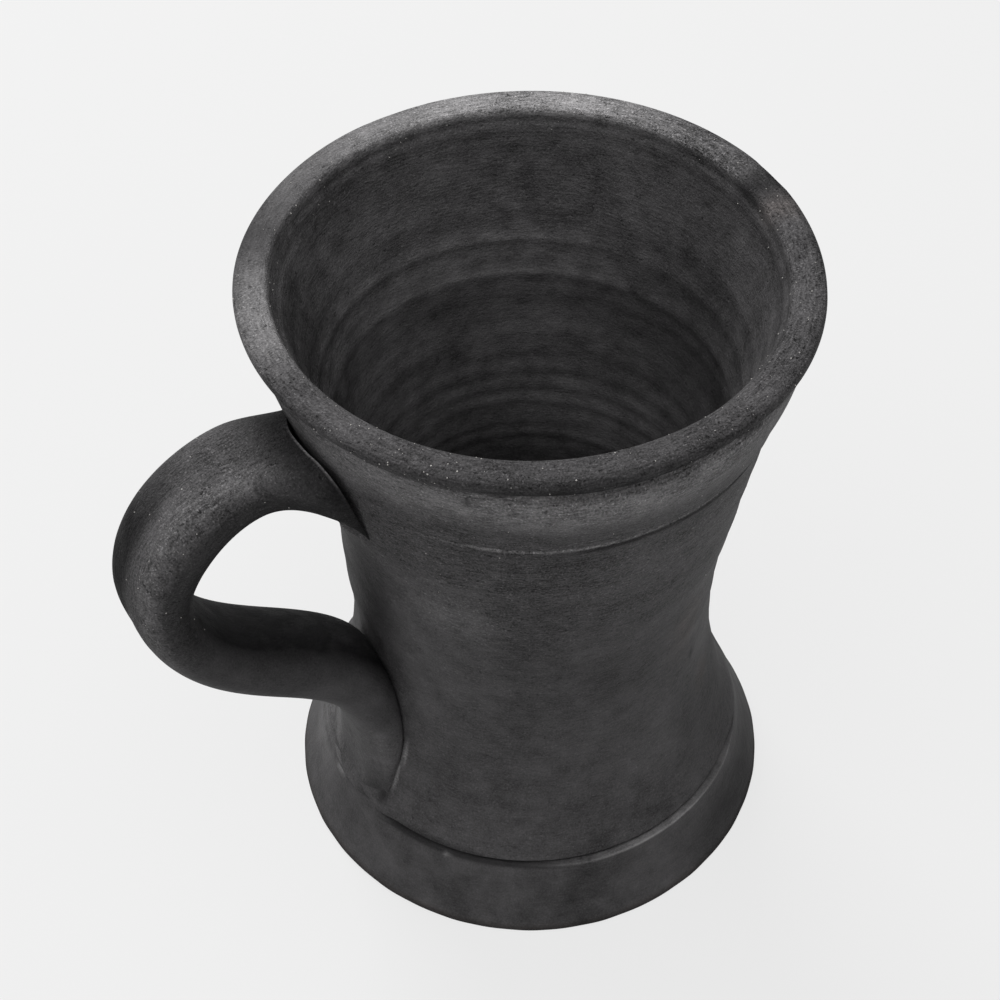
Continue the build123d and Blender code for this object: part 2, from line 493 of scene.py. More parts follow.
@dataclass(frozen=True)
class ClayFinish:
    """Smoke-blackened clay: cloudy black, paler where it is rubbed and under painted highlights, darker under
    painted shade, browner where clay shows.

    The noise layers count features to the millimetre. A tone says how strongly a layer
    lightens or darkens the clay, and a height how far it stands out in millimetres.
    """

    name: str
    clay: Colour = (0.0545, 0.0528, 0.0542, 1.0)
    # The next colour serves rubbed wear and painted highlights, the one after it soot and painted shade
    wear_and_highlight: Colour = (0.2000, 0.1955, 0.1980, 1.0)
    soot_and_shade: Colour = (0.0060, 0.0058, 0.0062, 1.0)
    earth: Colour = (0.070, 0.056, 0.050, 1.0)
    roughness: float = 0.66
    roughness_limits: tuple[float, float] = (0.35, 0.9)
    mottle_roughness: float = 0.35
    soot_and_shade_roughness: float = 0.12
    wear_and_highlight_roughness: float = 0.10
    gloss: float = 0.12
    clouds: Noise = Noise(0.045, 3.0, 0.55)
    mottle: Noise = Noise(0.22, 4.0, 0.55)
    grain: Noise = Noise(2.8, 2.0, 0.6)
    lines: Noise = Noise(1.0, 3.0, 0.6)
    line_stretch: tuple[float, float] = (0.03, 0.8)
    dashes: Noise = Noise(1.0, 2.0, 0.6)
    dash_stretch: tuple[float, float] = (0.5, 2.4)
    specks: Noise = Noise(2.3, 1.0)
    speck_edges: tuple[float, float] = (0.60, 0.74)
    pits: Noise = Noise(0.9, 2.0)
    pit_edges: tuple[float, float] = (0.25, 0.36)
    cloud_tone: float = 1.5
    mottle_tone: float = 1.4
    line_tone: float = 0.12
    grain_tone: float = 0.5
    coarse_line_tone: float = 0.5
    coarse_dash_tone: float = 2.4
    coarse_grain_tone: float = 2.8
    coarse_speck_tone: float = 1.5
    coarse_pit_tone: float = 0.8
    tone_limits: tuple[float, float] = (0.15, 3.5)
    wear_and_highlight_dashes: float = 0.4
    grain_height: float = 0.24
    line_height: float = 0.14
    dash_height: float = 0.22
    pit_height: float = 0.14
    lump_height: float = 0.45
    smooth_relief: float = 0.2

    def material(self) -> bpy.types.Material:
        """The finish as a node material that reads the pieces' own marks.

        Returns:
            The new material.
        """
        material, graph, shader = principled(self.name)
        shader.inputs["Specular IOR Level"].default_value = self.gloss
        mark = {kind: graph.attribute(kind.value) for kind in Mark}
        stroke = graph.attribute("stroke", "Vector")
        place = graph.place()

        clouds = graph.noise(place, self.clouds) - 0.5
        mottle = graph.noise(place, self.mottle) - 0.5
        grain = graph.noise(place, self.grain) - 0.5
        lines = graph.noise(graph.stretched(stroke, *self.line_stretch), self.lines) - 0.5
        dashes = graph.noise(graph.stretched(stroke, *self.dash_stretch), self.dashes) - 0.5
        specks = graph.noise(place, self.specks).ease(*self.speck_edges)
        pits = 1.0 - graph.noise(place, self.pits).ease(*self.pit_edges)
        coarse = mark[Mark.COARSE]

        tone = 1.0 + clouds * self.cloud_tone + mottle * self.mottle_tone
        tone = tone + lines * (self.line_tone + coarse * self.coarse_line_tone) + grain * self.grain_tone
        rough_tone = dashes * self.coarse_dash_tone + grain * self.coarse_grain_tone
        rough_tone = rough_tone + specks * self.coarse_speck_tone - pits * self.coarse_pit_tone
        tone = (tone + coarse * rough_tone).between(*self.tone_limits)
        colour = self.clay
        # Mixes in rubbed wear with painted highlights, brown clay, and soot with painted shade
        for kind, other, uneven in (
            (Mark.WEAR_AND_HIGHLIGHT, self.wear_and_highlight, dashes * self.wear_and_highlight_dashes),
            (Mark.EARTH, self.earth, mottle),
            (Mark.SOOT_AND_SHADE, self.soot_and_shade, mottle),
        ):
            colour = graph.mix((mark[kind] * (1.0 + uneven)).between(0.0, 1.0), colour, other)
        graph.feed(shader.inputs["Base Color"], graph.tinted(colour, tone))

        roughness = self.roughness + mottle * self.mottle_roughness
        roughness = roughness + mark[Mark.SOOT_AND_SHADE] * self.soot_and_shade_roughness - mark[Mark.WEAR_AND_HIGHLIGHT] * self.wear_and_highlight_roughness
        graph.feed(shader.inputs["Roughness"], roughness.between(*self.roughness_limits))

        rough_skin = grain * self.grain_height + dashes * self.dash_height - pits * self.pit_height
        relief = self.smooth_relief + coarse
        height = rough_skin * relief + lines * relief * self.line_height + mottle * self.lump_height
        bump_inputs = {"Strength": 1.0, "Distance": MM, "Height": height}
        graph.feed(shader.inputs["Normal"], graph.sock("ShaderNodeBump", {}, bump_inputs))
        return material


@dataclass(frozen=True)
class GritFinish:
    """Pale grains of sand and ash in the clay."""

    name: str = "pale_grit"
    colour: Colour = grey(0.33, 0.04)
    patches: Noise = Noise(0.6, 1.0)
    spread: float = 0.9
    roughness: float = 0.7

    def material(self) -> bpy.types.Material:
        """The finish as a node material, some grains paler than others.

        Returns:
            The new material.
        """
        material, graph, shader = principled(self.name)
        tone = 1.0 + (graph.noise(graph.place(), self.patches) - 0.5) * (2.0 * self.spread)
        graph.feed(shader.inputs["Base Color"], graph.tinted(self.colour[:3], tone))
        shader.inputs["Roughness"].default_value = self.roughness
        return material


class NodeShape:
    """A Geometry Nodes tree with named inputs, run once on an object."""

    def __init__(self, name: str, sizes: Mapping[str, float]) -> None:
        """Makes an empty tree with a mesh, a material and the named sizes as inputs."""
        self.tree = bpy.data.node_groups.new(name, "GeometryNodeTree")
        self.graph = Graph(self.tree)
        self.sizes = dict(sizes)
        face = self.tree.interface
        face.new_socket(name="Geometry", in_out="OUTPUT", socket_type="NodeSocketGeometry")
        face.new_socket(name="Geometry", in_out="INPUT", socket_type="NodeSocketGeometry")
        face.new_socket(name="Material", in_out="INPUT", socket_type="NodeSocketMaterial")
        for size, value in self.sizes.items():
            kind = "NodeSocketInt" if isinstance(value, int) else "NodeSocketFloat"
            face.new_socket(name=size, in_out="INPUT", socket_type=kind)
        self.given = self.graph.node("NodeGroupInput")

    def input(self, name: str) -> Sock:
        """One of the tree's inputs."""
        return Sock(self.graph, self.given.outputs[name])

    def attribute(self, name: str, kind: str = "FLOAT") -> Sock:
        """A named attribute of the mesh."""
        return self.graph.sock("GeometryNodeInputNamedAttribute", {"data_type": kind}, {"Name": name})

    def close(self, geometry: Sock) -> None:
        """Ends the tree: real meshes instead of instances, with the material set."""
        real = self.graph.sock("GeometryNodeRealizeInstances", {}, {"Geometry": geometry})
        dressed = {"Geometry": real, "Material": self.input("Material")}
        done = self.graph.sock("GeometryNodeSetMaterial", {}, dressed)
        self.graph.node("NodeGroupOutput", {}, {"Geometry": done})

    def close_moved(self, amount: Sock) -> None:
        """Ends the tree with the mesh moved along its normals by an amount."""
        offset = self.graph.scaled(self.graph.sock("GeometryNodeInputNormal"), amount)
        moved = {"Geometry": self.input("Geometry"), "Offset": offset}
        self.close(self.graph.sock("GeometryNodeSetPosition", {}, moved))

    def run(self, obj: bpy.types.Object, material: bpy.types.Material) -> bpy.types.Mesh:
        """Evaluates the tree on an object.

        Args:
            obj: The object that the tree reads.
            material: The finish that its result gets.

        Returns:
            The result as a plain mesh.
        """
        modifier = obj.modifiers.new(self.tree.name, "NODES")
        modifier.node_group = self.tree
        values = {**self.sizes, "Material": material}
        for item in self.tree.interface.items_tree:
            if item.in_out == "INPUT" and item.name in values:
                modifier[item.identifier] = values[item.name]
        depsgraph = bpy.context.evaluated_depsgraph_get()
        shaped = obj.evaluated_get(depsgraph)
        mesh = bpy.data.meshes.new_from_object(
            shaped, preserve_all_data_layers=True, depsgraph=depsgraph
        )
        obj.modifiers.remove(modifier)
        return mesh


def swap_mesh(obj: bpy.types.Object, mesh: bpy.types.Mesh) -> None:
    """Gives an object its finished mesh and drops the one it had."""
    old = obj.data
    obj.data = mesh
    bpy.data.meshes.remove(old)
    mesh.name = obj.name


RING_WANDER = Noise(45.0, 2.0)
SHALLOWEST_RING = 0.15
PULLED_NOISE = Noise(1.0, 1.0)
PULLED_STRETCH = (0.1, 1.0)


def throwing_rings(sizes: Mapping[str, float]) -> NodeShape:
    """Finger rings that climb the inside of the cup in one spiral.

    Args:
        sizes: Pitch and depth in metres, wander in turns, and the heights that they fade between.

    Returns:
        The tree.
    """
    shape = NodeShape("throwing_rings", sizes)
    graph = shape.graph
    place = graph.sock("GeometryNodeInputPosition")
    parts = graph.node("ShaderNodeSeparateXYZ", {}, {0: place})
    x, y, z = (Sock(graph, socket) for socket in parts.outputs)
    angle = x.maths("ARCTAN2", y, x)
    wander = (graph.noise(place, RING_WANDER) - 0.5) * shape.input("Wander")
    phase = z / shape.input("Pitch") + angle / FULL_TURN + wander
    full = shape.input("Full below")
    fade = 1.0 - (z - full) / (shape.input("Gone above") - full)
    depth = (phase * FULL_TURN).sine() * shape.input("Depth") * fade.between(SHALLOWEST_RING, 1.0)
    shape.close_moved(depth * shape.attribute("thrown"))
    return shape


def pulled_lines(sizes: Mapping[str, float]) -> NodeShape:
    """Shallow lines that the wet hand leaves along the strap.

    Args:
        sizes: Depth in metres and how many lines there are to a millimetre.

    Returns:
        The tree.
    """
    shape = NodeShape("pulled_lines", sizes)
    graph = shape.graph
    stroke = shape.attribute("stroke", "FLOAT_VECTOR")
    lines = graph.noise(graph.stretched(stroke, *PULLED_STRETCH), PULLED_NOISE)
    graph.feed(lines.socket.node.inputs["Scale"], shape.input("Lines"))
    shape.close_moved((lines - 0.5) * shape.input("Depth") * shape.attribute("thrown"))
    return shape


def grit_grains(sizes: Mapping[str, float]) -> NodeShape:
    """Small flattened grains that stand out of the skin where the clay is gritty.

    Args:
        sizes: Density to the square metre, radius, smallest and largest scale, and the seed.

    Returns:
        The tree.
    """
    shape = NodeShape("grit_grains", sizes)
    graph = shape.graph
    scatter = {
        "Mesh": shape.input("Geometry"),
        "Density": shape.attribute(Mark.GRIT.value) * shape.input("Density"),
        "Seed": shape.input("Seed"),
    }
    points = graph.node("GeometryNodeDistributePointsOnFaces", {"distribute_method": "RANDOM"}, scatter)
    ball = {"Radius": shape.input("Radius"), "Subdivisions": 1}
    grain = graph.sock("GeometryNodeMeshIcoSphere", {}, ball)
    scale = graph.node(
        "FunctionNodeRandomValue",
        {"data_type": "FLOAT"},
        {2: shape.input("Smallest"), 3: shape.input("Largest"), "Seed": shape.input("Seed")},
    )
    placed = {
        "Points": Sock(graph, points.outputs["Points"]),
        "Instance": grain,
        "Rotation": Sock(graph, points.outputs["Rotation"]),
        "Scale": Sock(graph, scale.outputs[1]),
    }
    shape.close(graph.sock("GeometryNodeInstanceOnPoints", {}, placed))
    return shape


@dataclass(frozen=True)
class WallCurve:
    """Outside of the cup's wall: two power curves that meet at the waist, with a slight lean."""

    height: float
    rim_radius: float = 48.7
    waist_radius: float = 34.7
    waist_z: float = 55.0
    foot_radius: float = 41.8
    foot_height: float = 15.2
    upper_flare: float = 1.48
    lower_flare: float = 2.9
    lean_turn: float = -29.0
    lean_high: float = 0.7
    lean_high_z: float = 84.0
    lean_low: float = 0.3
    lean_low_z: float = 52.0
    lean_reach: float = 26.0

    def radius(self, z: np.ndarray | float) -> np.ndarray:
        """Radius of the wall at each height."""
        z = np.asarray(z, float)
        low = np.clip((self.waist_z - z) / (self.waist_z - self.foot_height), 0.0, None)
        high = np.clip((z - self.waist_z) / (self.height - self.waist_z), 0.0, None)
        below = (self.foot_radius - self.waist_radius) * low**self.lower_flare
        above = (self.rim_radius - self.waist_radius) * high**self.upper_flare
        return self.waist_radius + below + above

    def lean(self, z: np.ndarray) -> np.ndarray:
        """How far the hand-thrown wall stands off its axis at each height, as x, y and 0."""
        off = self.lean_high * hump(z, self.lean_high_z, self.lean_reach)
        off = off + self.lean_low * hump(z, self.lean_low_z, self.lean_reach)
        turn = math.radians(self.lean_turn)
        return np.stack((off * math.cos(turn), off * math.sin(turn), np.zeros_like(off)), axis=-1)

    def stand_off(self, across: np.ndarray, z: np.ndarray, gap: np.ndarray) -> np.ndarray:
        """Points that stand off the wall on the handle's side.

        Args:
            across: Place of each point along the wall, from the handle's middle plane.
            z: Its height.
            gap: How far it stands off.

        Returns:
            The points.
        """
        radius = self.radius(z) + gap
        turn = across / radius
        return grid(-radius * np.cos(turn), radius * np.sin(turn), z)


@dataclass(frozen=True)
class FootCurve:
    """Outside of the foot ring: a slightly hollow side that spreads downwards."""

    height: float = 15.2
    inner_radius: float = 39.5
    top_radius: float = 42.5
    radius: float = 47.7
    hollow: float = 0.6

    def side(self, z: np.ndarray | float) -> np.ndarray:
        """Radius of the side at each height."""
        share = np.clip(np.asarray(z, float) / self.height, 0.0, None)
        straight = self.radius + (self.top_radius - self.radius) * share
        return straight - 4.0 * self.hollow * share * (1.0 - np.minimum(share, 1.0))


@dataclass(frozen=True)
class Dent:
    """A soft place where the hand drew the wall in or, below zero, let it out.

    Fields are the depth, the middle as a turn in degrees with its reach, and as a height
    with its reach.
    """

    depth: float
    turn: float
    reach_turn: float
    height: float
    reach_height: float

    def depths(self, theta: np.ndarray, z: np.ndarray) -> np.ndarray:
        """How far the wall is drawn in at each angle in degrees and height."""
        return self.depth * lobe(theta, self.turn, self.reach_turn) * hump(z, self.height, self.reach_height)


@dataclass(frozen=True)
class WipedJoint:
    """The stretches, at the handle's tail and opposite it, where the ledge above the foot is wiped shut.

    Each stretch is four angles in degrees: where it begins, is wholly shut, opens again and ends.
    """

    wall: WallCurve
    foot: FootCurve
    low: float = 12.5
    high: float = 22.0
    stretches: tuple[tuple[float, float, float, float], ...] = (
        (134.0, 150.0, 192.0, 203.0),
        (-54.0, -34.0, 25.0, 50.0),
    )
    pinch: Dent = Dent(0.9, -8.0, 36.0, 16.5, 9.0)

    def share(self, theta: np.ndarray) -> np.ndarray:
        """How far the ledge is wiped shut.

        Args:
            theta: Angles in degrees.

        Returns:
            Shares from 0, where the ledge is whole, to 1, where it is shut.
        """
        share = np.zeros_like(theta)
        for first, wiped, last, gone in self.stretches:
            turn = np.mod(theta - first, 360.0) + first
            share = share + ease(turn, first, wiped) * (1.0 - ease(turn, last, gone))
        return share

    def seat(self, z: np.ndarray | float) -> np.ndarray:
        """Radius of the wiped surface, from the side of the foot up to the wall."""
        foot, wall = self.foot.side(z), self.wall.radius(z)
        return foot + ease(z, self.low, self.high) * (wall - foot)


@dataclass
class ThrownCup:
    """The cup as it came off the wheel: base, wall, lip, inside and floor in one skin.

    Heights are measured from the table and turns in degrees from the side opposite the
    handle. A pair of numbers says where a form begins to come in or go, and where it is
    whole or gone. A lip point is a radius and a height, a finger ring a height, a rise and
    a reach, an oval or a dip a rise, a turn and a reach. An uneven wave has its rise, its
    count round the wall, its phase and its climb, and a band its rise, length, drift and phase.
    """

    wall: WallCurve
    joint: WipedJoint
    clay: ClayFinish
    thickness: float = 5.7
    floor: float = 8.0
    well_z: float = 28.0
    well_round: float = 14.0
    spigot_radius: float = 38.8
    shoulder_z: float = 15.9
    shoulder_radii: tuple[float, ...] = (39.8, 40.8, 41.3)
    shoulder_rows: tuple[float, ...] = (0.0, 0.05, 0.2, 0.6)
    root_turn: float = 181.0
    front_turn: float = -108.0
    front_reach: float = 85.0
    cut_line_z: float = 108.7
    cut_line_depth: float = 0.42
    cut_line_drop: float = 0.3
    cut_line_half: float = 0.8
    cut_line_wiped: tuple[float, float] = (28.0, 52.0)
    cut_line_wander: Waves = ((0.30, 2.0, 1.0), (0.14, 7.0, 0.0))
    cut_line_reach: float = 7.0
    # Turn where the painted highlight along the cut line is brightest
    cut_line_highlight_turn: float = -118.0
    collar_step: float = 0.34
    collar_fade: float = 7.0
    collar_swell: float = 1.5
    collar_z: float = 118.5
    collar_reach: float = 10.0
    fold_z: float = 126.2
    fold_depth: float = 1.35
    fold_valley: tuple[float, float] = (0.2, 3.2)
    fold_least: float = 0.25
    fold_wiped: tuple[float, float] = (35.0, 75.0)
    fold_wander: Waves = ((0.40, 4.0, 0.5), (0.22, 9.0, 2.0))
    fold_lift: tuple[float, float] = (0.3, 3.5)
    fold_outside: float = 46.5
    rim_wander: Waves = ((0.10, 5.0, 0.4),)
    rim_wander_rise: tuple[float, float] = (126.0, 129.0)
    rim_sag: Waves = ((0.14, 1.0, 2.8), (0.03, 6.0, 0.0))
    rim_sag_rise: tuple[float, float] = (112.0, 129.0)
    upright_rise: float = 12.0
    uneven: tuple[tuple[float, float, float, float], ...] = (
        (0.16, 2.0, 0.7, 0.021),
        (0.10, 3.0, -1.3, 0.04),
    )
    uneven_rise: tuple[float, float] = (20.0, 90.0)
    bands: tuple[tuple[float, float, float, float], ...] = (
        (0.10, 2.9, 0.6, 0.0),
        (0.06, 1.3, 1.1, 0.5 * math.pi),
    )
    band_rise: tuple[float, float] = (30.0, 60.0)
    band_end: tuple[float, float] = (100.0, 108.0)
    collar_edge_wander: Waves = ((0.22, 17.0, 0.0), (0.15, 41.0, 1.0))
    collar_edge_dips: tuple[tuple[float, float, float], ...] = ((0.9, -125.0, 6.0), (1.6, -73.0, 11.0))
    front_marks_least: float = 0.3
    ovals: tuple[tuple[float, float, float], ...] = (
        (0.4, 130.0, 55.0),
        (0.75, 28.0, 65.0),
        (0.4, 65.0, 60.0),
    )
    oval_rise: tuple[float, float] = (90.0, 128.0)
    dents: tuple[Dent, ...] = (
        Dent(0.35, 160.0, 150.0, 49.0, 16.0),
        Dent(-0.45, -20.0, 70.0, 31.0, 13.0),
        Dent(0.95, 163.0, 42.0, 79.0, 15.0),
    )
    lap: float = 0.5
    lap_height: float = 1.2
    lap_proud: float = 0.04
    lap_proud_end: tuple[float, float] = (17.0, 21.0)
    lip_points: tuple[tuple[float, float], ...] = (
        (47.70, 127.0),
        (48.35, 127.5),
        (48.85, 128.2),
        (49.02, 129.1),
        (48.78, 130.00),
        (48.00, 130.32),
        (47.20, 130.41),
        (46.50, 130.42),
        (45.40, 130.40),
        (44.30, 130.35),
        (43.45, 130.05),
        (43.05, 129.4),
        (42.80, 128.5),
        (42.40, 127.2),
        (41.95, 125.6),
    )
    finger_rings: tuple[tuple[float, float, float], ...] = (
        (112.5, 0.14, 2.4),
        (109.0, -0.08, 1.6),
        (106.2, 0.22, 1.5),
        (103.4, -0.10, 1.8),
        (99.4, 0.30, 2.2),
        (92.0, -0.34, 6.0),
        (84.5, 0.12, 3.5),
        (78.3, 0.10, 2.2),
        (74.4, 0.10, 2.0),
        (70.9, 0.10, 1.9),
        (67.6, 0.09, 1.8),
        (64.8, 0.09, 1.7),
        (62.0, 0.09, 1.7),
    )
    ring_wander: Waves = ((0.4, 1.0, 1.0), (0.2, 3.0, 0.0))
    lit_rings: tuple[float, ...] = (106.2, 99.4)
    fillet_split_z: float = 70.0
    fillet_x: float = -28.0
    fillet_half_width: float = 24.0
    root_fillet_end: tuple[float, float] = (100.0, 108.0)
    root_fillet_side: tuple[float, float] = (-12.5, -8.5)
    tail_fillet: float = 0.45
    tail_fillet_low: tuple[float, float] = (16.0, 18.0)
    tail_fillet_high: tuple[float, float] = (18.0, 23.0)
    inner_lip: float = 44.0
    widest: float = 48.95
    columns: int = 272
    lip_rows: int = 36
    corner_rows: int = 15
    handle_turn: float = 180.0
    crowding: float = 1.2
    crowding_reach: float = 28.0
    base_pitch: float = 1.7
    wall_pitch: float = 1.2
    collar_pitch: float = 0.8
    ring_pitch: float = 0.65
    well_pitch: float = 1.9
    line_rows: tuple[float, ...] = (-2.0, -1.4, -0.9, -0.6, -0.3, -0.05, 0.1, 0.3, 0.6, 1.0, 1.6)
    fold_rows: tuple[float, ...] = (-3.2, -2.7, -2.2, -1.7, -1.2, -0.8, -0.5, -0.2, 0.05, 0.35, 0.7)
    inside_top: float = 124.9
    rings_end: float = 58.0
    patches: tuple[Patch, ...] = ()
    wire_middle: tuple[float, float] = (-70.0, 55.0)
    wire_pitch: float = 5.2
    wire_depth: float = 0.14
    ring_sizes: dict[str, float] = field(
        default_factory=lambda: {
            "Pitch": 4.1 * MM,
            "Depth": 0.07 * MM,
            "Wander": 1.0,
            "Full below": 64.0 * MM,
            "Gone above": 118.0 * MM,
        }
    )

    def angles(self) -> np.ndarray:
        """Column angles in degrees, closer together beside the handle."""
        fine = np.linspace(0.0, 360.0, 3601)
        away = turn_from(fine, self.handle_turn) / self.crowding_reach
        density = 1.0 + self.crowding * np.exp(-(away**2))
        total = np.concatenate(([0.0], np.cumsum((density[1:] + density[:-1]) / 2.0)))
        wanted = np.linspace(0.0, total[-1], self.columns, endpoint=False)
        return np.interp(wanted, total, fine)

    def outline(self) -> tuple[np.ndarray, np.ndarray]:
        """Half section of the cup, from the middle of the base to the middle of the floor.

        Returns:
            Radius and height of each row, and the zone of each row.
        """
        base = [(r, 0.0) for r in np.arange(1.5, self.spigot_radius, self.base_pitch)]
        spigot = [(self.spigot_radius, z) for z in np.linspace(0.0, self.shoulder_z, 5)]
        shoulder = [(r, self.shoulder_z) for r in self.shoulder_radii]
        up, close = self.wall_pitch, self.collar_pitch
        line_rows = self.cut_line_z + np.array(self.line_rows)
        fold_rows = self.fold_z + np.array(self.fold_rows)
        heights = np.concatenate(
            (
                self.shoulder_z + np.array(self.shoulder_rows),
                np.arange(self.shoulder_z + up, line_rows[0] - up / 2.0, up),
                line_rows,
                np.arange(line_rows[-1] + close, fold_rows[0] - close / 2.0, close),
                fold_rows,
            )
        )
        outside = [(float(self.wall.radius(z)), z) for z in heights]
        lip_points = np.array(self.lip_points)
        lip_run = run_length(lip_points)
        lip = spline_through(lip_run, lip_points, np.linspace(0.0, lip_run[-1], self.lip_rows))
        ringed = np.arange(self.inside_top, self.rings_end, -self.ring_pitch)
        plain = np.arange(self.rings_end - 0.5, self.well_z, -self.well_pitch)
        inside = [(float(self.wall.radius(z)) - self.thickness, z) for z in (*ringed, *plain)]
        well_radius = float(self.wall.radius(self.well_z)) - self.thickness
        corner_z = self.floor + self.well_round
        straight = [(well_radius, z) for z in np.linspace(self.well_z, corner_z, 6)]
        corner_middle = (well_radius - self.well_round, corner_z)
        corner = arc(corner_middle, self.well_round, (-6.0, -90.0), self.corner_rows)
        bottom = [(r, self.floor) for r in np.arange(corner[-1][0] - 1.2, 1.0, -1.2)]
        parts = (
            (Zone.BASE, base + spigot + shoulder),
            (Zone.OUTSIDE, outside),
            (Zone.LIP, lip.tolist()),
            (Zone.INSIDE, inside + straight + corner + bottom),
        )
        rows = np.array([row for _, part in parts for row in part])
        zones = np.array([zone.value for zone, part in parts for _ in part])
        return rows, zones

    def off_root(self, theta: np.ndarray, wiped: tuple[float, float]) -> np.ndarray:
        """Rises from 0 beside the handle's upper root to 1, between two angles from it."""
        return ease(np.abs(turn_from(theta, self.root_turn)), *wiped)

    def front(self, theta: np.ndarray, least: float) -> np.ndarray:
        """Falls from 1 on the camera's side to the least share on the other."""
        return least + (1.0 - least) * lobe(theta, self.front_turn, self.front_reach)

    def skin(self) -> Skin:
        """The whole surface as a grid, with the marks of hand work on it.

        Returns:
            The grid, before the lean.
        """
        rows, zones = self.outline()
        theta = self.angles()[None, :]
        radians = np.radians(theta)
        r0, z0 = rows[:, :1], rows[:, 1:]
        masks = {zone: (zones == zone.value)[:, None] for zone in Zone}
        base, outside, lip, inside = masks.values()
        upright = ease(z0, self.shoulder_z, self.shoulder_z + self.upright_rise) * ~base

        # The line under the collar fades out beside the handle, where fingers wiped it
        over_line = z0 - self.cut_line_z
        step = self.collar_step * np.exp(-np.abs(over_line) / self.collar_fade)
        collar = np.where(over_line > 0.0, step, 0.0)
        groove = np.clip(1.0 - np.abs(over_line + self.cut_line_drop) / self.cut_line_half, 0.0, 1.0)
        line_share = self.off_root(theta, self.cut_line_wiped)
        r = r0 + outside * line_share * (collar - self.cut_line_depth * groove)

        # The lip is folded out, and its lower edge shows as a crease on the camera's side
        fold_share = self.front(theta, self.fold_least) * self.off_root(theta, self.fold_wiped)
        over_fold = z0 - self.fold_z
        valley = self.fold_depth * hump(over_fold, *self.fold_valley)
        swell = self.collar_swell * hump(z0, self.collar_z, self.collar_reach)
        r = r + (outside | lip) * fold_share * (swell - valley) * (z0 < self.lip_points[1][1])

        # Slow unevenness of the turning, growing towards the rim, and narrow bands outside
        slow = sum(
            rise * np.sin(count * radians + phase + climb * z0)
            for rise, count, phase, climb in self.uneven
        )
        oval = sum(rise * lobe(theta, turn, reach) for rise, turn, reach in self.ovals)
        r = r + upright * (ease(z0, *self.uneven_rise) * slow + ease(z0, *self.oval_rise) * oval)
        bands = sum(
            rise * np.sin(z0 / length + drift * np.sin(radians + phase))
            for rise, length, drift, phase in self.bands
        )
        banded = upright * outside * ease(z0, *self.band_rise) * (1.0 - ease(z0, *self.band_end))
        r = r + banded * bands
        r = r + lip * wavy(radians, self.rim_wander) * ease(z0, *self.rim_wander_rise)
        off_ring = z0 + wavy(radians, self.ring_wander)
        for ring_z, rise, reach in self.finger_rings:
            r = r - inside * rise * hump(off_ring, ring_z, reach)

        # The wall is drawn in at the waist and below the upper root, and fuller above the foot
        for dent in self.dents:
            r = r - outside * dent.depths(theta, z0)

        # Where the joint is wiped shut, the wall's lower edge laps over the foot
        share = self.joint.share(theta)
        wiped = share * outside * (z0 < self.joint.high)
        lap_share = 1.0 - ease(z0, self.shoulder_z, self.shoulder_z + self.lap_height)
        lap = self.lap * share * outside * lap_share
        seat = self.joint.seat(z0 - lap) + self.lap_proud * (1.0 - ease(z0, *self.lap_proud_end))
        r = r + wiped * (seat - self.wall.radius(z0)) - outside * self.joint.pinch.depths(theta, z0 - lap)

        near_line = outside * hump(over_line, 0.0, self.cut_line_reach)
        z = z0 - lap + near_line * wavy(radians, self.cut_line_wander)
        below_rim = outside | (lip & (r0 > self.fold_outside))
        z = z + below_rim * wavy(radians, self.fold_wander) * hump(over_fold, *self.fold_lift)
        sag = wavy(radians, self.rim_sag) + sum(depth for depth, _, _ in self.rim_sag)
        z = z - sag * ease(z0, *self.rim_sag_rise)

        # No point stands out of the square that bounds the solid
        r = np.minimum(r, self.widest / np.maximum(np.abs(np.cos(radians)), np.abs(np.sin(radians))))

        # Arcs that the cutting wire left across the base
        x, y = r * np.cos(radians), r * np.sin(radians)
        from_wire = np.hypot(x - self.wire_middle[0], y - self.wire_middle[1])
        arcs = 0.5 + 0.5 * np.sin(FULL_TURN * from_wire / self.wire_pitch)
        flat = base * ease(self.spigot_radius - 0.5 - r0, 0.0, 2.0) * (z0 < 0.5)
        points = grid(x, y, z + flat * self.wire_depth * arcs)
        marks = self.marks(masks, theta, points[..., 2], rows)
        thrown = np.broadcast_to(inside * 1.0, r.shape)
        return Skin(points, ring_strokes(radians, rows), marks, thrown)

    def marks(
        self, masks: dict[Zone, np.ndarray], theta: np.ndarray, z: np.ndarray, rows: np.ndarray
    ) -> dict[Mark, np.ndarray]:
        """Where the cup is worn or carries painted highlights, sooty or carries painted shade, brown, coarse
        or gritty.

        Args:
            masks: For each zone, which rows lie in it, as a column.
            theta: Angle of each column in degrees, as a row.
            z: Height of each point.
            rows: Radius and height of each row before hand marks.

        Returns:
            One grid of shares for each kind of mark.
        """
        r0, z0 = rows[:, :1], rows[:, 1:]
        marks = blank_marks(z.shape)
        for patch in self.patches:
            marks[patch.mark] += masks[patch.zone] * patch.shares(theta, z)
        _, outside, lip, inside = masks.values()
        front = self.front(theta, self.front_marks_least)

        # The cut line has a painted highlight on its lower lip, painted shade in its groove and faintly below
        # it, and on the right a band of painted shadow below it
        over_line = z0 - self.cut_line_z
        line_share = self.off_root(theta, self.cut_line_wiped)
        edge_highlight = (0.65 + 0.3 * lobe(theta, self.cut_line_highlight_turn, 30.0)) * hump(over_line, -0.75, 0.5)
        right = ease(turn_from(theta, self.cut_line_highlight_turn), 0.0, 16.0)
        right = right * ease(-turn_from(theta, 10.0), 0.0, 40.0)
        shadow = hump(over_line, -0.05, 0.45) + 0.2 * ease(over_line, -9.0, -2.0) * (over_line < -1.2)
        marks[Mark.WEAR_AND_HIGHLIGHT] += outside * line_share * edge_highlight
        marks[Mark.SOOT_AND_SHADE] += outside * (0.85 * line_share * shadow + 0.9 * right * hump(over_line, -1.7, 0.8))
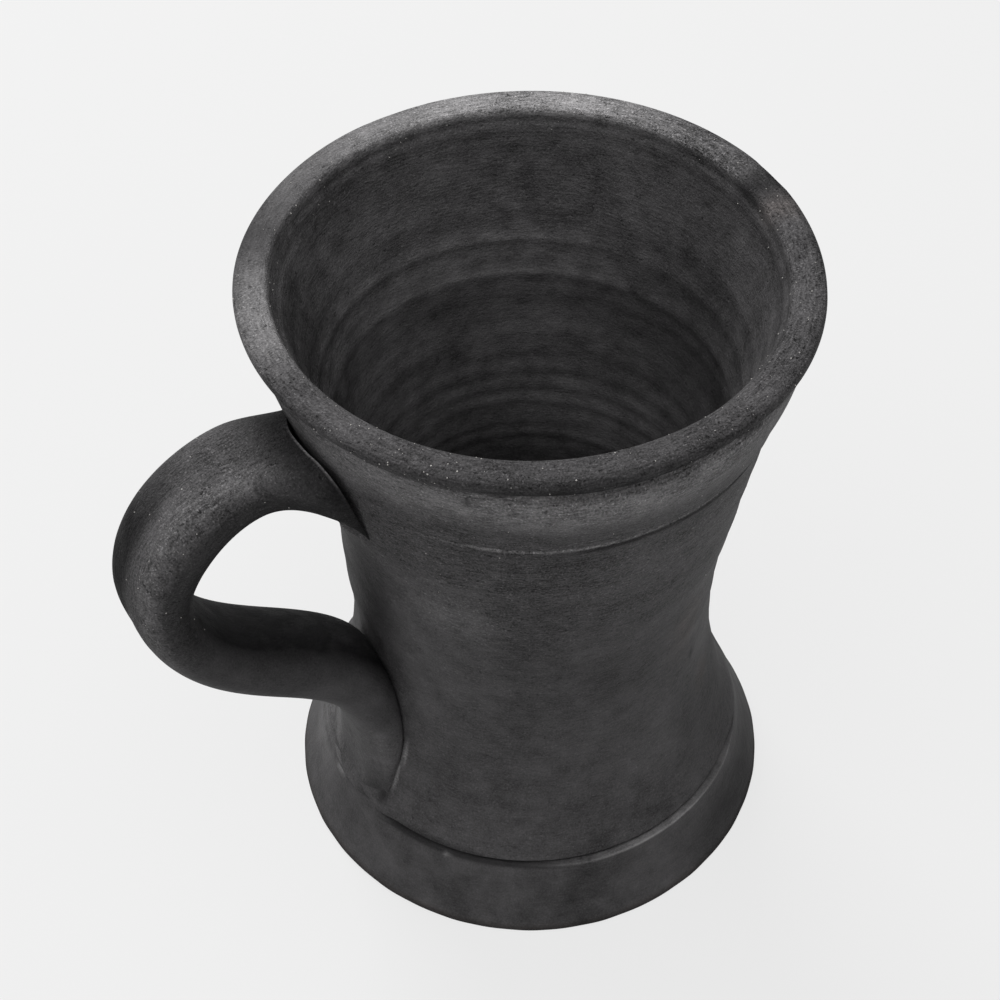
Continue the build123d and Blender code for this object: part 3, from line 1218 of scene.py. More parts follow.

        # The collar is polished and painted with a highlight up to a ragged edge under the lip, with a strip
        # of painted shade in the crease above
        dips = sum(depth * lobe(theta, turn, reach) for depth, turn, reach in self.collar_edge_dips)
        over_collar_edge = z0 - (self.fold_z - dips + wavy(np.radians(theta), self.collar_edge_wander))
        polish_and_highlight = 1.0 - ease(over_collar_edge, -0.3, 0.3)
        painted_shade_strip = ease(over_collar_edge, -0.2, 0.3) * (1.0 - ease(z0, 128.2, 129.4)) * (r0 > self.inner_lip)
        painted_shade_strip = painted_shade_strip * self.off_root(theta, self.fold_wiped)
        marks[Mark.WEAR_AND_HIGHLIGHT] += outside * 0.55 * front * hump(z0, 122.0, 9.0) * polish_and_highlight
        marks[Mark.SOOT_AND_SHADE] += (outside | lip) * 0.6 * front * painted_shade_strip
        marks[Mark.WEAR_AND_HIGHLIGHT] *= 1.0 - lip * (r0 < self.inner_lip) * (1.0 - ease(z0, 128.6, 129.8))

        # Inside: painted light on the left and at the back, painted highlights on the lit rings at the back,
        # painted shade in the well and under the lip on the right, and a darker band at 91 mm
        inside = inside | (lip & (r0 < 43.3) & (z0 < 129.5))
        painted_light = 0.07 + 0.18 * lobe(theta, 165.0, 110.0)
        rings = sum(hump(z0, ring_z, 0.9) for ring_z in self.lit_rings) + 0.5 * hump(z0, 104.0, 5.0)
        rings = rings * lobe(theta, 75.0, 60.0)
        well_shade = 1.0 - ease(z0, 25.0, 74.0)
        under_lip_shade = lobe(theta, -20.0, 85.0) * hump(z0, 126.6, 5.0)
        marks[Mark.WEAR_AND_HIGHLIGHT] += inside * (painted_light * ease(z0, 20.0, 75.0) + 0.14 * rings)
        marks[Mark.SOOT_AND_SHADE] += inside * (0.80 * well_shade + 0.15 * hump(z0, 91.0, 7.0) + 0.40 * under_lip_shade)

        # The clay is coarse on the lip and high on the wall, and smooth where it is polished
        rim = lip & ~inside
        smooth = 1.0 - 0.85 * lobe(theta, 125.0, 100.0)
        coarse_wall = 0.50 * ease(z0, 62.0, 105.0) - 0.30 * front * hump(z0, 118.0, 9.0) * polish_and_highlight
        coarse_inside = 0.16 * ease(z0, 96.0, 112.0) - 0.12
        marks[Mark.COARSE] += 0.30 + 0.50 * rim * smooth + outside * coarse_wall + inside * coarse_inside
        # Painted shade on the outer rounding of the lip
        marks[Mark.SOOT_AND_SHADE] += 0.24 * rim * ease(r0, 46.8, 48.4)
        marks[Mark.GRIT] += 0.03 * outside * ease(z0, 60.0, 115.0) + 0.20 * lip
        return clipped(marks)

    def blend_to_handle(self, skin: Skin, handle: bpy.types.Object, reach: float, rise: float) -> None:
        """Raises a fillet of wiped clay on the wall, under the upper root and beside the tail.

        Args:
            skin: The cup's grid, changed in place.
            handle: The finished handle.
            reach: How far the fillet spreads over the wall.
            rise: How high it stands at the handle.
        """
        tree = BVHTree.FromPolygons(
            [vertex.co for vertex in handle.data.vertices],
            [tuple(polygon.vertices) for polygon in handle.data.polygons],
        )
        points = skin.points
        x, y, z = points[..., 0], points[..., 1], points[..., 2]
        above = z > self.fillet_split_z
        under_root = above * (1.0 - ease(z, *self.root_fillet_end)) * ease(y, *self.root_fillet_side)
        beside_tail = ~above * ease(z, *self.tail_fillet_low) * (1.0 - ease(z, *self.tail_fillet_high))
        near = (skin.thrown < 0.5) * (x < self.fillet_x) * (np.abs(y) < self.fillet_half_width)
        share = (under_root + self.tail_fillet * beside_tail) * near
        for row, column in np.argwhere(share > 0.01):
            point = points[row, column]
            found = tree.find_nearest(Vector(point * MM), reach * MM)
            if found[0] is None:
                continue
            close = 1.0 - found[3] / (reach * MM)
            out = math.hypot(point[0], point[1])
            points[row, column, :2] *= 1.0 + rise * close**2 * share[row, column] / out

    def build(self, skin: Skin) -> bpy.types.Object:
        """Makes the finished piece.

        Args:
            skin: The cup's grid.

        Returns:
            The cup.
        """
        obj = skin.piece("cup_thrown")
        rings = throwing_rings(self.ring_sizes)
        swap_mesh(obj, rings.run(obj, self.clay.material()))
        fit_piece(obj, ["thrown_cup"])
        return obj


@dataclass
class FootRing:
    """The spreading foot: a hollow side, a ledge under the wall and a worn standing edge."""

    curve: FootCurve
    joint: WipedJoint
    clay: ClayFinish
    ledge_round: float = 0.4
    edge_round: float = 0.7
    columns: int = 320
    rows_up: int = 40
    slow_waves: Waves = ((0.14, 2.0, 0.4), (0.10, 5.0, -0.9))
    groove_turn: float = 197.0
    groove_edges: tuple[float, float] = (36.0, 62.0)
    groove_depth: float = 0.85
    groove_height: float = 3.2
    groove_drop: float = 0.30
    shut_rise: float = 0.62
    patches: tuple[Patch, ...] = ()

    def skin(self) -> Skin:
        """The ring's surface as a grid.

        Returns:
            The grid. Its first and last rows meet at the inner edge of the underside.
        """
        curve = self.curve
        height = curve.height
        theta = np.linspace(0.0, 360.0, self.columns, endpoint=False)[None, :]
        radians = np.radians(theta)
        under = [(r, 0.0) for r in np.linspace(curve.inner_radius, curve.radius - self.edge_round, 8)]
        edge_r = float(curve.side(self.edge_round)) - self.edge_round
        edge = arc((edge_r, self.edge_round), self.edge_round, (-78.0, -12.0), 7)
        ledge_z = height - self.ledge_round
        side = [(float(curve.side(z)), z) for z in np.linspace(self.edge_round, ledge_z, self.rows_up)]
        ledge_r = float(curve.side(ledge_z)) - self.ledge_round
        ledge = arc((ledge_r, ledge_z), self.ledge_round, (15.0, 90.0), 6)
        top = [(r, height) for r in np.linspace(ledge_r - 0.3, curve.inner_radius, 8)]
        bore = [(curve.inner_radius, z) for z in np.linspace(height, 0.0, 7)[1:-1]]
        rows = np.array(under + edge + side + ledge + top + bore)
        r0, z0 = rows[:, :1], rows[:, 1:]
        number = np.arange(len(rows))[:, None]
        seen = (number >= len(under)) & (number < len(under + edge + side + ledge))

        outer = ease(r0, curve.inner_radius + 1.0, curve.inner_radius + 2.5)
        ragged = 0.03 * np.sin(23.0 * radians + 1.5 * np.sin(4.0 * radians)) + 0.02 * np.sin(41.0 * radians)
        r = r0 + outer * (0.12 + 0.5 * wavy(radians, self.slow_waves)) * (1.0 - ease(z0, 10.0, 15.0))
        r = r + outer * ragged * (1.0 - ease(z0, 0.6, 3.0))

        # The ledge stands out at the front right and at the back, left of the front it is a
        # plain groove, and beside the handle's tail and opposite it the joint is wiped shut
        shut = self.joint.share(theta)
        proud = ease(np.abs(turn_from(theta, self.groove_turn)), *self.groove_edges) * (1.0 - shut)
        sunk = (1.0 - proud) * (1.0 - shut)
        bead = hump(z0, height - 0.3, 1.0) * outer * proud
        r = r + bead * (0.07 + 0.04 * np.sin(6.0 * radians + 0.8))
        groove_z = height - self.groove_height
        r = r - hump(z0, groove_z, 2.2) * outer * proud * 0.12
        r = r - outer * sunk * self.groove_depth * ease(z0, groove_z, height - 0.2)
        lift = 0.08 * (np.sin(3.0 * radians + 1.2) - 1.0) * proud - self.groove_drop * sunk
        z = z0 + outer * ease(z0, height - 2.0, height) * lift
        z = z + shut * self.shut_rise * ease(z0, height - 1.6, height) * ease(r0, 41.2, 41.8)
        wiped = shut * seen * ease(z0, self.joint.low - 2.0, self.joint.low)
        r = r + wiped * (self.joint.seat(z) - r)
        r = r - outer * self.joint.pinch.depths(theta, z)

        points = grid(r * np.cos(radians), r * np.sin(radians), z)
        marks = blank_marks(r.shape)
        for patch in self.patches:
            marks[patch.mark] += patch.shares(theta, z)
        # Painted highlight along the ledge's bead, strongest at the front right; painted shade in the sunk
        # groove; the standing edge darker and browner
        painted_light = 0.45 + 0.5 * lobe(theta, -86.0, 42.0)
        marks[Mark.WEAR_AND_HIGHLIGHT] += painted_light * hump(z0, height - 0.2, 0.42) * outer * proud
        marks[Mark.SOOT_AND_SHADE] += 0.7 * sunk * outer * ease(z0, height - 1.4, height - 0.5)
        marks[Mark.SOOT_AND_SHADE] += 0.65 * (1.0 - ease(z0, 0.4, 2.2))
        marks[Mark.EARTH] += 0.30 * outer * (1.0 - ease(z0, 0.5, 2.5))
        marks[Mark.COARSE] += 0.15
        return Skin(points, ring_strokes(radians, rows), clipped(marks), ring=True)

    def build(self) -> bpy.types.Object:
        """Makes the finished piece, a closed ring.

        Returns:
            The foot ring.
        """
        obj = self.skin().piece("foot_turned")
        obj.data.materials.append(self.clay.material())
        fit_piece(obj, ["foot_ring"])
        return obj


@dataclass
class PulledHandle:
    """One strap of pulled clay: a saddle at the upper root, a bow, and a long wiped tail."""

    wall: WallCurve
    joint: WipedJoint
    clay: ClayFinish
    rows: int = 330
    cap_rows: int = 12
    root_rows: int = 44
    columns: int = 108
    fullness: float = 2.41
    seat_gap: float = 0.45
    slit_gap: float = 1.3
    tight_gap: float = -0.25
    tail_gap: float = -0.5
    press_depth: float = 0.9
    feather: float = 3.5
    far_feather: float = 8.0
    thumb_groove: float = 0.45
    groove_start: tuple[float, float] = (16.0, 28.0)
    groove_half: float = 0.42
    press_middle: tuple[float, float] = (-0.15, 28.0)
    press_reach: tuple[float, float] = (0.75, 13.0)
    uneven_width: float = 0.012
    uneven_length: float = 9.0
    lean_fade: tuple[float, float] = (5.0, 24.0)
    stroke_turn: float = 0.9
    # Where the painted highlight along the root's upper edge lies, and its share on the first rim rows
    upper_edge: tuple[float, float] = (238.0, 48.0)
    upper_edge_highlight: tuple[float, ...] = (0.9, 0.9, 0.9, 0.7, 0.4)
    slit_turn: tuple[float, float] = (205.0, 60.0)
    slit_above: float = 0.6
    far_first: tuple[float, float] = (262.0, 292.0)
    far_last: tuple[float, float] = (12.0, 45.0)
    tongue_turn: tuple[float, float] = (142.0, 60.0)
    tongue_free: tuple[float, float] = (208.0, 55.0)
    far_wiped: tuple[float, float] = (26.0, 48.0)
    near_wiped: tuple[float, float] = (15.5, 18.0)
    tail_end: tuple[float, float] = (15.2, 16.4)
    tail_spread: tuple[float, float] = (15.2, 20.0)
    tail_crown: float = 1.3
    bow_low: float = 48.0
    bow_height: float = 62.8
    root_middle: tuple[float, float] = (-1.0, 107.0)
    root_rim: tuple[tuple[float, float, float], ...] = (
        (0.0, 9.8, 105.8),
        (30.0, 8.8, 102.8),
        (60.0, 5.0, 103.0),
        (90.0, 0.0, 103.6),
        (108.0, -3.2, 103.2),
        (126.0, -6.6, 100.7),
        (142.0, -9.8, 97.5),
        (154.0, -11.9, 95.6),
        (166.0, -13.0, 99.2),
        (182.0, -14.0, 104.2),
        (198.0, -14.2, 109.2),
        (212.0, -13.3, 113.2),
        (226.0, -10.8, 115.6),
        (246.0, -5.6, 115.7),
        (270.0, 0.3, 116.3),
        (300.0, 5.2, 114.7),
        (330.0, 8.8, 111.0),
    )
    line_sizes: dict[str, float] = field(default_factory=lambda: {"Depth": 0.14 * MM, "Lines": 0.6})

    def stations(self) -> np.ndarray:
        """Centre x, centre z, width, thickness and wrap of each section, upper root first."""

        def beside(z: float, out: float) -> tuple[float, float]:
            """A point out from the wall."""
            return (-float(self.wall.radius(z)) - out, z)

        def over(z: float, out: float) -> tuple[float, float]:
            """A point out from the wiped joint above the foot."""
            return (-float(self.joint.seat(z)) - out, z)

        def bow(share: float, out: float) -> tuple[float, float]:
            """A point of the bow, at a share of its height and out from the waist."""
            return (-self.wall.waist_radius - out, self.bow_low + share * self.bow_height)

        return np.array(
            [
                (*beside(109.6, 0.0), 20.0, 12.0, 0.4),
                (*beside(110.9, 12.0), 18.6, 11.0, 0.0),
                (*bow(0.88, 33.8), 18.6, 12.2, 0.0),
                (*bow(0.70, 38.7), 18.6, 11.0, 0.0),
                (*bow(0.43, 32.9), 18.6, 11.1, 0.0),
                (*bow(0.236, 19.6), 17.6, 13.0, 0.0),
                (*beside(48.0, 4.9), 19.0, 12.6, 0.4),
                (*beside(34.0, 1.6), 22.5, 8.6, 1.0),
                (*beside(24.5, 0.5), 21.5, 5.4, 1.0),
                (*over(19.6, -0.3), 20.4, 3.0, 1.0),
                (*over(17.6, -0.3), 18.0, 2.2, 1.0),
                (*over(16.2, -0.3), 14.0, 1.5, 1.0),
                (*over(15.2, -0.5), 8.0, 0.5, 1.0),
            ]
        )

    def skin(self) -> Skin:
        """The strap's surface as a grid, seated on the wall at both ends.

        Returns:
            The grid, with the wall's lean taken in near the wall.
        """
        stations = self.stations()
        knots = run_length(stations[:, :2])
        at = np.linspace(knots[1], knots[-1], self.rows)
        line = spline_through(knots, stations, at)
        heading = np.gradient(line[:, :2], at, axis=0)
        heading /= np.linalg.norm(heading, axis=1)[:, None]
        phi = np.linspace(0.0, FULL_TURN, self.columns, endpoint=False)
        power = 2.0 / self.fullness
        side_share = (np.sign(np.cos(phi)) * np.abs(np.cos(phi)) ** power)[None, :]
        face_share = (np.sign(np.sin(phi)) * np.abs(np.sin(phi)) ** power)[None, :]
        t = at[:, None]
        half_width = line[:, 2:3] / 2.0 * (1.0 + self.uneven_width * np.sin(t / self.uneven_length))
        side = half_width * side_share
        bend = line[:, 4:5] * side**2 / (2.0 * self.wall.radius(line[:, 1:2]))
        outer = np.clip(-face_share, 0.0, 1.0)
        free = ease(t, *self.groove_start) * (1.0 - ease(t, knots[5], knots[6]))
        groove = np.exp(-((side / (self.groove_half * half_width)) ** 2))
        groove = self.thumb_groove * free * outer * groove
        press_across = (side_share - self.press_middle[0]) / self.press_reach[0]
        press_up = (line[:, 1:2] - self.press_middle[1]) / self.press_reach[1]
        press = hump(np.hypot(press_across, press_up), 0.0, 1.0)
        press = self.press_depth * press * outer * ease(t, knots[5], knots[6])
        face = line[:, 3:4] / 2.0 * face_share + bend + groove + press
        x = line[:, :1] - heading[:, 1:] * face
        z = line[:, 1:2] + heading[:, :1] * face
        strap = grid(x, side, z)
        start = int(np.searchsorted(at, knots[5]))
        self.seat_tail(strap, line[:, 1:2], start, side_share, face_share, half_width)

        across, height, gap = self.rim(phi)
        root, grown = self.root(strap, at[1] - at[0], phi, across, height, gap)
        points = np.concatenate((root, strap))
        out = np.hypot(points[..., 0], points[..., 1]) - self.wall.radius(points[..., 2])
        points += self.wall.lean(points[..., 2]) * (1.0 - ease(out, *self.lean_fade))[..., None]

        run = np.concatenate((grown * knots[1], t))
        spread = side + self.stroke_turn * face
        rim_spread = across + self.stroke_turn * (self.root_middle[1] - height)
        spread = np.concatenate((rim_spread + grown * (spread[0] - rim_spread), spread))
        stroke = grid(run, np.zeros_like(run), spread)
        whole = points.shape[:2]
        marks = self.marks(run, knots, np.broadcast_to(side_share, whole), np.broadcast_to(face_share, whole))

        # A painted highlight runs along the upper edge of the root on the camera's side, with the painted
        # shade taken off there
        upper = hump(np.degrees(phi), *self.upper_edge)
        for row, share in enumerate(self.upper_edge_highlight, start=self.cap_rows):
            marks[Mark.WEAR_AND_HIGHLIGHT][row] = np.maximum(marks[Mark.WEAR_AND_HIGHLIGHT][row], share * upper)
            marks[Mark.SOOT_AND_SHADE][row] *= 1.0 - share * upper
        thrown = np.concatenate((np.zeros_like(grown), free))
        return Skin(points, stroke, marks, np.broadcast_to(thrown, whole))

    def rim(self, phi: np.ndarray) -> tuple[np.ndarray, np.ndarray, np.ndarray]:
        """The line where the upper end meets the wall, with a tongue down its near side.

        Args:
            phi: Angle of each column round the strap.

        Returns:
            Place across the wall, height, and how far the edge stands off, for each column.
        """
        turn = np.degrees(phi)
        knots = np.array(self.root_rim)
        once = np.array((360.0, 0.0, 0.0))
        rounds = np.concatenate((knots - once, knots, knots + once))
        rim = spline_through(rounds[:, 0], rounds[:, 1:], turn)
        above = np.clip(-np.sin(phi), 0.0, 1.0) ** 0.5
        upper = np.maximum(self.slit_above * above, hump(turn, *self.slit_turn))
        far = ease(turn, *self.far_first) + 1.0 - ease(turn, *self.far_last)
        upper = upper * (1.0 - far)
        lower = np.clip(np.sin(phi), 0.0, 1.0) ** 0.5 * (1.0 - hump(turn, *self.tongue_free))
        lower = np.maximum(lower, far)
        gap = self.seat_gap + (self.slit_gap - self.seat_gap) * upper
        return rim[:, 0], rim[:, 1], gap + (self.tight_gap - self.seat_gap) * lower

    def root(
        self,
        strap: np.ndarray,
        step: float,
        phi: np.ndarray,
        across: np.ndarray,
        height: np.ndarray,
        gap: np.ndarray,
    ) -> tuple[np.ndarray, np.ndarray]:
        """The end face on the wall, and the flare from its rim to the first free section.

        Args:
            strap: The free strap's grid.
            step: Length along the strap from one row to the next.
            phi: Angle of each column round the strap.
            across: Place of the rim across the wall.
            height: Height of the rim.
            gap: How far the rim stands off the wall.

        Returns:
            The grid, and how far each row has grown from the rim to the strap, as a column.
        """
        inward = np.linspace(0.95, 0.0, self.cap_rows, endpoint=False)[:, None]
        face_gap = gap + (self.seat_gap - gap) * np.clip(inward * 3.0, 0.0, 1.0)
        cap = self.wall.stand_off(
            across + inward * (self.root_middle[0] - across),
            height + inward * (self.root_middle[1] - height),
            face_gap,
        )
        rim = self.wall.stand_off(across, height, gap)
        low = np.maximum(np.clip(np.sin(phi), 0.0, 1.0), hump(np.degrees(phi), *self.tongue_turn))[:, None]
        outward = rim * (1.0, 1.0, 0.0)
        outward /= np.linalg.norm(outward, axis=1)[:, None]
        span = np.linalg.norm(strap[0] - rim, axis=1)[:, None]
        leave = (outward * (1.0 - 0.7 * low) + np.array((0.0, 0.0, 1.1)) * low) * span
        arrive = (strap[1] - strap[0]) / step * span
        u = (np.linspace(0.0, 1.0, self.root_rows, endpoint=False) ** 1.4)[:, None, None]
        flare = (2.0 * u**3 - 3.0 * u**2 + 1.0) * rim + (u**3 - 2.0 * u**2 + u) * leave
        flare = flare + (3.0 * u**2 - 2.0 * u**3) * strap[0] + (u**3 - u**2) * arrive
        return np.concatenate((cap, flare)), np.concatenate((np.zeros((self.cap_rows, 1)), u[..., 0]))

    def seat_tail(
        self,
        points: np.ndarray,
        centre_z: np.ndarray,
        start: int,
        side_share: np.ndarray,
        face_share: np.ndarray,
        half_width: np.ndarray,
    ) -> None:
        """Lays the tail on the wall and the foot, wiped out thin along its far side.

        Args:
            points: The grid, changed in place.
            centre_z: Height of the strap's centre at each row, as a column.
            start: The first row of the tail.
            side_share: Place across the strap of each column, from -1 to 1.
            face_share: Place through the strap of each column, 1 on the wall's side.
            half_width: Half the strap's width at each row.
        """
        tail = points[start:]
        low = tail[..., 2] < self.joint.high
        seat = np.where(low, self.joint.seat(tail[..., 2]), self.wall.radius(tail[..., 2]))
        out = np.abs(side_share)
        z = centre_z[start:]
        far_side = side_share > 0.0
        wiped = 1.0 - np.where(far_side, ease(z, *self.far_wiped), ease(z, *self.near_wiped))
        gap = self.seat_gap + (self.tail_gap - self.seat_gap) * ease(out, 0.5, 0.95) * wiped
        gap = gap + (self.tail_gap - gap) * (1.0 - ease(z, *self.tail_end))
        radius = np.hypot(tail[..., 0], tail[..., 1])
        radius = np.maximum(radius, seat + gap)
        angle = np.arctan2(tail[..., 1], -tail[..., 0])

        middle = int(np.argmin(face_share[0]))
        top = (radius - seat)[:, middle : middle + 1]
        crowned = (top - gap) * np.cos(0.5 * math.pi * out) ** self.tail_crown + gap
        flat = np.where(face_share < 0.0, crowned, gap)
        thin = seat + flat
        feather = np.where(far_side, self.far_feather, self.feather)
        wide = side_share * (half_width[start:] + feather * ease(z, *self.tail_spread)) / seat
        radius = radius + wiped * (thin - radius)
        angle = angle + wiped * (wide - angle)
        tail[..., 0] = -radius * np.cos(angle)
        tail[..., 1] = radius * np.sin(angle)

    def marks(
        self, t: np.ndarray, knots: np.ndarray, side_share: np.ndarray, face_share: np.ndarray
    ) -> dict[Mark, np.ndarray]:
        """Where the handle is worn or carries painted highlights, where it carries painted shade, and where
        it is coarse or gritty.

        Args:
            t: Length along the strap of each row, as a column.
            knots: Length along the strap of each station.
            side_share: Place across the strap of each column, from -1 to 1.
            face_share: Place through the strap of each column, 1 on the loop's side.

        Returns:
            One grid of shares for each kind of mark.
        """
        marks = blank_marks(side_share.shape)
        outer = np.clip(-face_share, 0.0, 1.0)
        inner = np.clip(face_share, 0.0, 1.0)

        # Stretches along the strap
        crown = ease(t, 4.0, knots[1] + 2.0) * (1.0 - ease(t, knots[3], knots[4]))
        arm = ease(t, knots[3], knots[4]) * (1.0 - ease(t, knots[6], knots[7]))
        tail = ease(t, knots[6], knots[7])
        neck = 1.0 - ease(t, 2.0, knots[1] + 3.0)
        above_arm = 1.0 - ease(t, knots[4], knots[5])

        # Places across it, from the camera's side to the far side
        ridge_highlight = hump(side_share + 0.24 * ease(t, knots[2], knots[4]), -0.64, 0.34) * outer**0.5
        near = ease(-side_share, 0.80, 0.97) * ease(face_share, -0.60, -0.15)
        near = near * ease(t, 1.0, knots[1]) * (1.0 - arm) * (1.0 - tail)
        faces = ease(side_share, -1.0, -0.3)
        bow = ease(side_share, -0.80, -0.45) * ease(t, knots[2] - 4.0, knots[3]) * above_arm
        far = ease(side_share, -0.35, 0.15) * ease(t, knots[1], knots[2]) * above_arm
        far_edge_highlight = hump(side_share, 0.42, 0.26) * outer * ease(t, knots[6] + 3.0, knots[7])
        dab = hump(t, knots[1] + 9.0, 5.0) * hump(side_share, -0.1, 0.7) * outer
        tip = hump(side_share, -0.8, 0.5) * ease(t, knots[7] + 4.0, knots[9])

        # Painted highlights on the crown's ridge and along the tail's far edge, a lighter dab on the crown
        # and a paler tail; painted shade on the inner face, the arm, the neck by the root, the far side, the
        # near edge, part of the bow and the tail's tip
        marks[Mark.WEAR_AND_HIGHLIGHT] += crown * (0.03 * outer + 0.30 * ridge_highlight) + 0.12 * dab + 0.06 * tail + 0.35 * far_edge_highlight
        marks[Mark.SOOT_AND_SHADE] += 0.60 * inner * (1.0 - tail) * (1.0 - 0.6 * arm * (1.0 - faces))
        marks[Mark.SOOT_AND_SHADE] += arm * (0.22 + 0.62 * inner * faces) + 0.80 * neck + 0.80 * far
        marks[Mark.SOOT_AND_SHADE] += 0.50 * near + 0.2 * bow + 0.55 * tip
        marks[Mark.COARSE] += 0.30 + 0.38 * crown - 0.15 * arm - 0.20 * near + 0.30 * neck
        marks[Mark.GRIT] += 0.07 * crown + 0.005
        return clipped(marks)

    def build(self) -> bpy.types.Object:
        """Makes the finished piece.

        Returns:
            The handle.
        """
        obj = self.skin().piece("handle_pulled")
        lines = pulled_lines(self.line_sizes)
        swap_mesh(obj, lines.run(obj, self.clay.material()))
        fit_piece(obj, ["handle"])
        return obj


@dataclass
class SlipPad:
    """The layer of slip between the wall and one end of the handle."""

    wall: WallCurve
    slip: ClayFinish
    name: str
    node: str
    low: float
    high: float
    half_width: float
    inner_gap: float = 0.04
    outer_gap: float = 0.38
    pole: float = 0.04
    rows: int = 40
    columns: int = 48

    def skin(self) -> Skin:
        """A thin oval cushion that lies on the wall.

        Returns:
            The grid, from the middle of its outer face over the edge to the middle of its inner face.
        """
        phi = np.linspace(0.0, FULL_TURN, self.columns, endpoint=False)[None, :]
        half = self.rows // 2
        outwards = np.linspace(self.pole, 1.0, half)
        inwards = np.linspace(1.0, self.pole, half + 1)[1:]
        reach = np.concatenate((outwards, inwards))[:, None]
        face = np.concatenate((np.ones(half), np.zeros(half)))[:, None]
        middle, rise = (self.low + self.high) / 2.0, (self.high - self.low) / 2.0
        z = middle + rise * reach * np.sin(phi)
        across = self.half_width * reach * np.cos(phi)
        crown = np.sqrt(np.clip(1.0 - reach**4, 0.0, 1.0))
        gap = self.inner_gap + face * crown * (self.outer_gap - self.inner_gap)
        points = self.wall.stand_off(across, z, gap) + self.wall.lean(z)
        marks = blank_marks(z.shape)
        marks[Mark.SOOT_AND_SHADE] += 0.8
        marks[Mark.COARSE] += 0.5
        return Skin(points, points, marks)

    def build(self) -> bpy.types.Object:
        """Makes the finished piece.

        Returns:
            The slip layer.
        """
        obj = self.skin().piece(self.name)
        obj.data.materials.append(self.slip.material())
        fit_piece(obj, [self.node])
        return obj


@dataclass
class Grit:
    """Pale grains that stand out of a piece's skin."""

    finish: GritFinish
    sizes: dict[str, float]

    def build(self, name: str, carrier: bpy.types.Object) -> bpy.types.Object:
        """Scatters grains over a piece.

        Args:
            name: Name of the new piece.
            carrier: The piece that carries the grains.

        Returns:
            The grains, as one piece.
        """
        mesh = grit_grains(self.sizes).run(carrier, self.finish.material())
        mesh.name = name
        obj = placed(name, mesh)
        fit_piece(obj)
        return obj


@dataclass(frozen=True)
class Softbox:
    """One area light: its place and the point that it faces in metres, its sides and its power."""

    name: str
    place: tuple[float, float, float]
    sides: tuple[float, float]
    power: float
    target: tuple[float, float, float] = (0.0, 0.0, 0.06)

    def build(self) -> bpy.types.Object:
        """Adds the light to the scene.

        Returns:
            The light.
        """
        light = bpy.data.lights.new(self.name, "AREA")
        light.shape = "RECTANGLE"
        light.size, light.size_y = self.sides
        light.energy = self.power
        obj = placed(self.name, light)
        facing = Vector(self.target) - Vector(self.place)
        turn = facing.to_track_quat("-Z", "Y").to_matrix().to_4x4()
        obj.matrix_world = Matrix.Translation(self.place) @ turn
        return obj


@dataclass
class Studio:
    """A pale seamless floor, soft light from above and the back left, and the camera."""

    lens: float = 75.42
    sensor: float = 36.0
    camera_place: tuple[float, float, float] = (-132.6, -227.0, 360.9)
    heading: float = 29.09
    pitch: float = 47.53
    roll: float = -0.81
    floor_half: float = 3.0
    floor_colour: Colour = grey(0.10)
    floor_glow: float = 0.73
    floor_roughness: float = 0.9
    sky: float = 0.19
    lights: tuple[Softbox, ...] = (
        Softbox("light_above", (-0.34, -0.14, 1.42), (1.5, 1.5), 21.0),
        Softbox("light_back_left", (0.06, 0.94, 0.84), (0.6, 0.5), 12.0),
    )

    def build(self) -> None:
        """Builds floor, sky, lights and camera."""
        half = self.floor_half
        mesh = bpy.data.meshes.new("floor")
        corners = [(-half, -half, 0.0), (half, -half, 0.0), (half, half, 0.0), (-half, half, 0.0)]
        mesh.from_pydata(corners, [], [(0, 1, 2, 3)])
        material, _, shader = principled("pale_floor")
        for socket, value in (
            ("Base Color", self.floor_colour),
            ("Roughness", self.floor_roughness),
            ("Specular IOR Level", 0.0),
            ("Emission Color", grey(1.0)),
            ("Emission Strength", self.floor_glow),
        ):
            shader.inputs[socket].default_value = value
        mesh.materials.append(material)
        floor = placed("floor", mesh)

        world = bpy.data.worlds.new("soft_sky")
        world.use_nodes = True
        background = world.node_tree.nodes["Background"]
        background.inputs["Color"].default_value = grey(1.0)
        background.inputs["Strength"].default_value = self.sky
        bpy.context.scene.world = world
        for light in self.lights:
            light.build()
        self.camera()
        bpy.context.scene.view_settings.view_transform = "Standard"

    def camera(self) -> None:
        """Sets the camera at the photograph's place and angle."""
        heading, pitch, roll = (math.radians(a) for a in (self.heading, self.pitch, self.roll))
        ahead = Vector(
            (
                math.sin(heading) * math.cos(pitch),
                math.cos(heading) * math.cos(pitch),
                -math.sin(pitch),
            )
        )
        level = Vector((math.cos(heading), -math.sin(heading), 0.0))
        upright = level.cross(ahead)
        right = level * math.cos(roll) + upright * math.sin(roll)
        up = upright * math.cos(roll) - level * math.sin(roll)
        data = bpy.data.cameras.new("camera")
        data.lens = self.lens
        data.sensor_width = self.sensor
        data.clip_start = 0.01
        obj = placed("camera", data)
        turn = Matrix((right, up, -ahead)).transposed().to_4x4()
        obj.matrix_world = Matrix.Translation(Vector(self.camera_place) * MM) @ turn
        bpy.context.scene.camera = obj


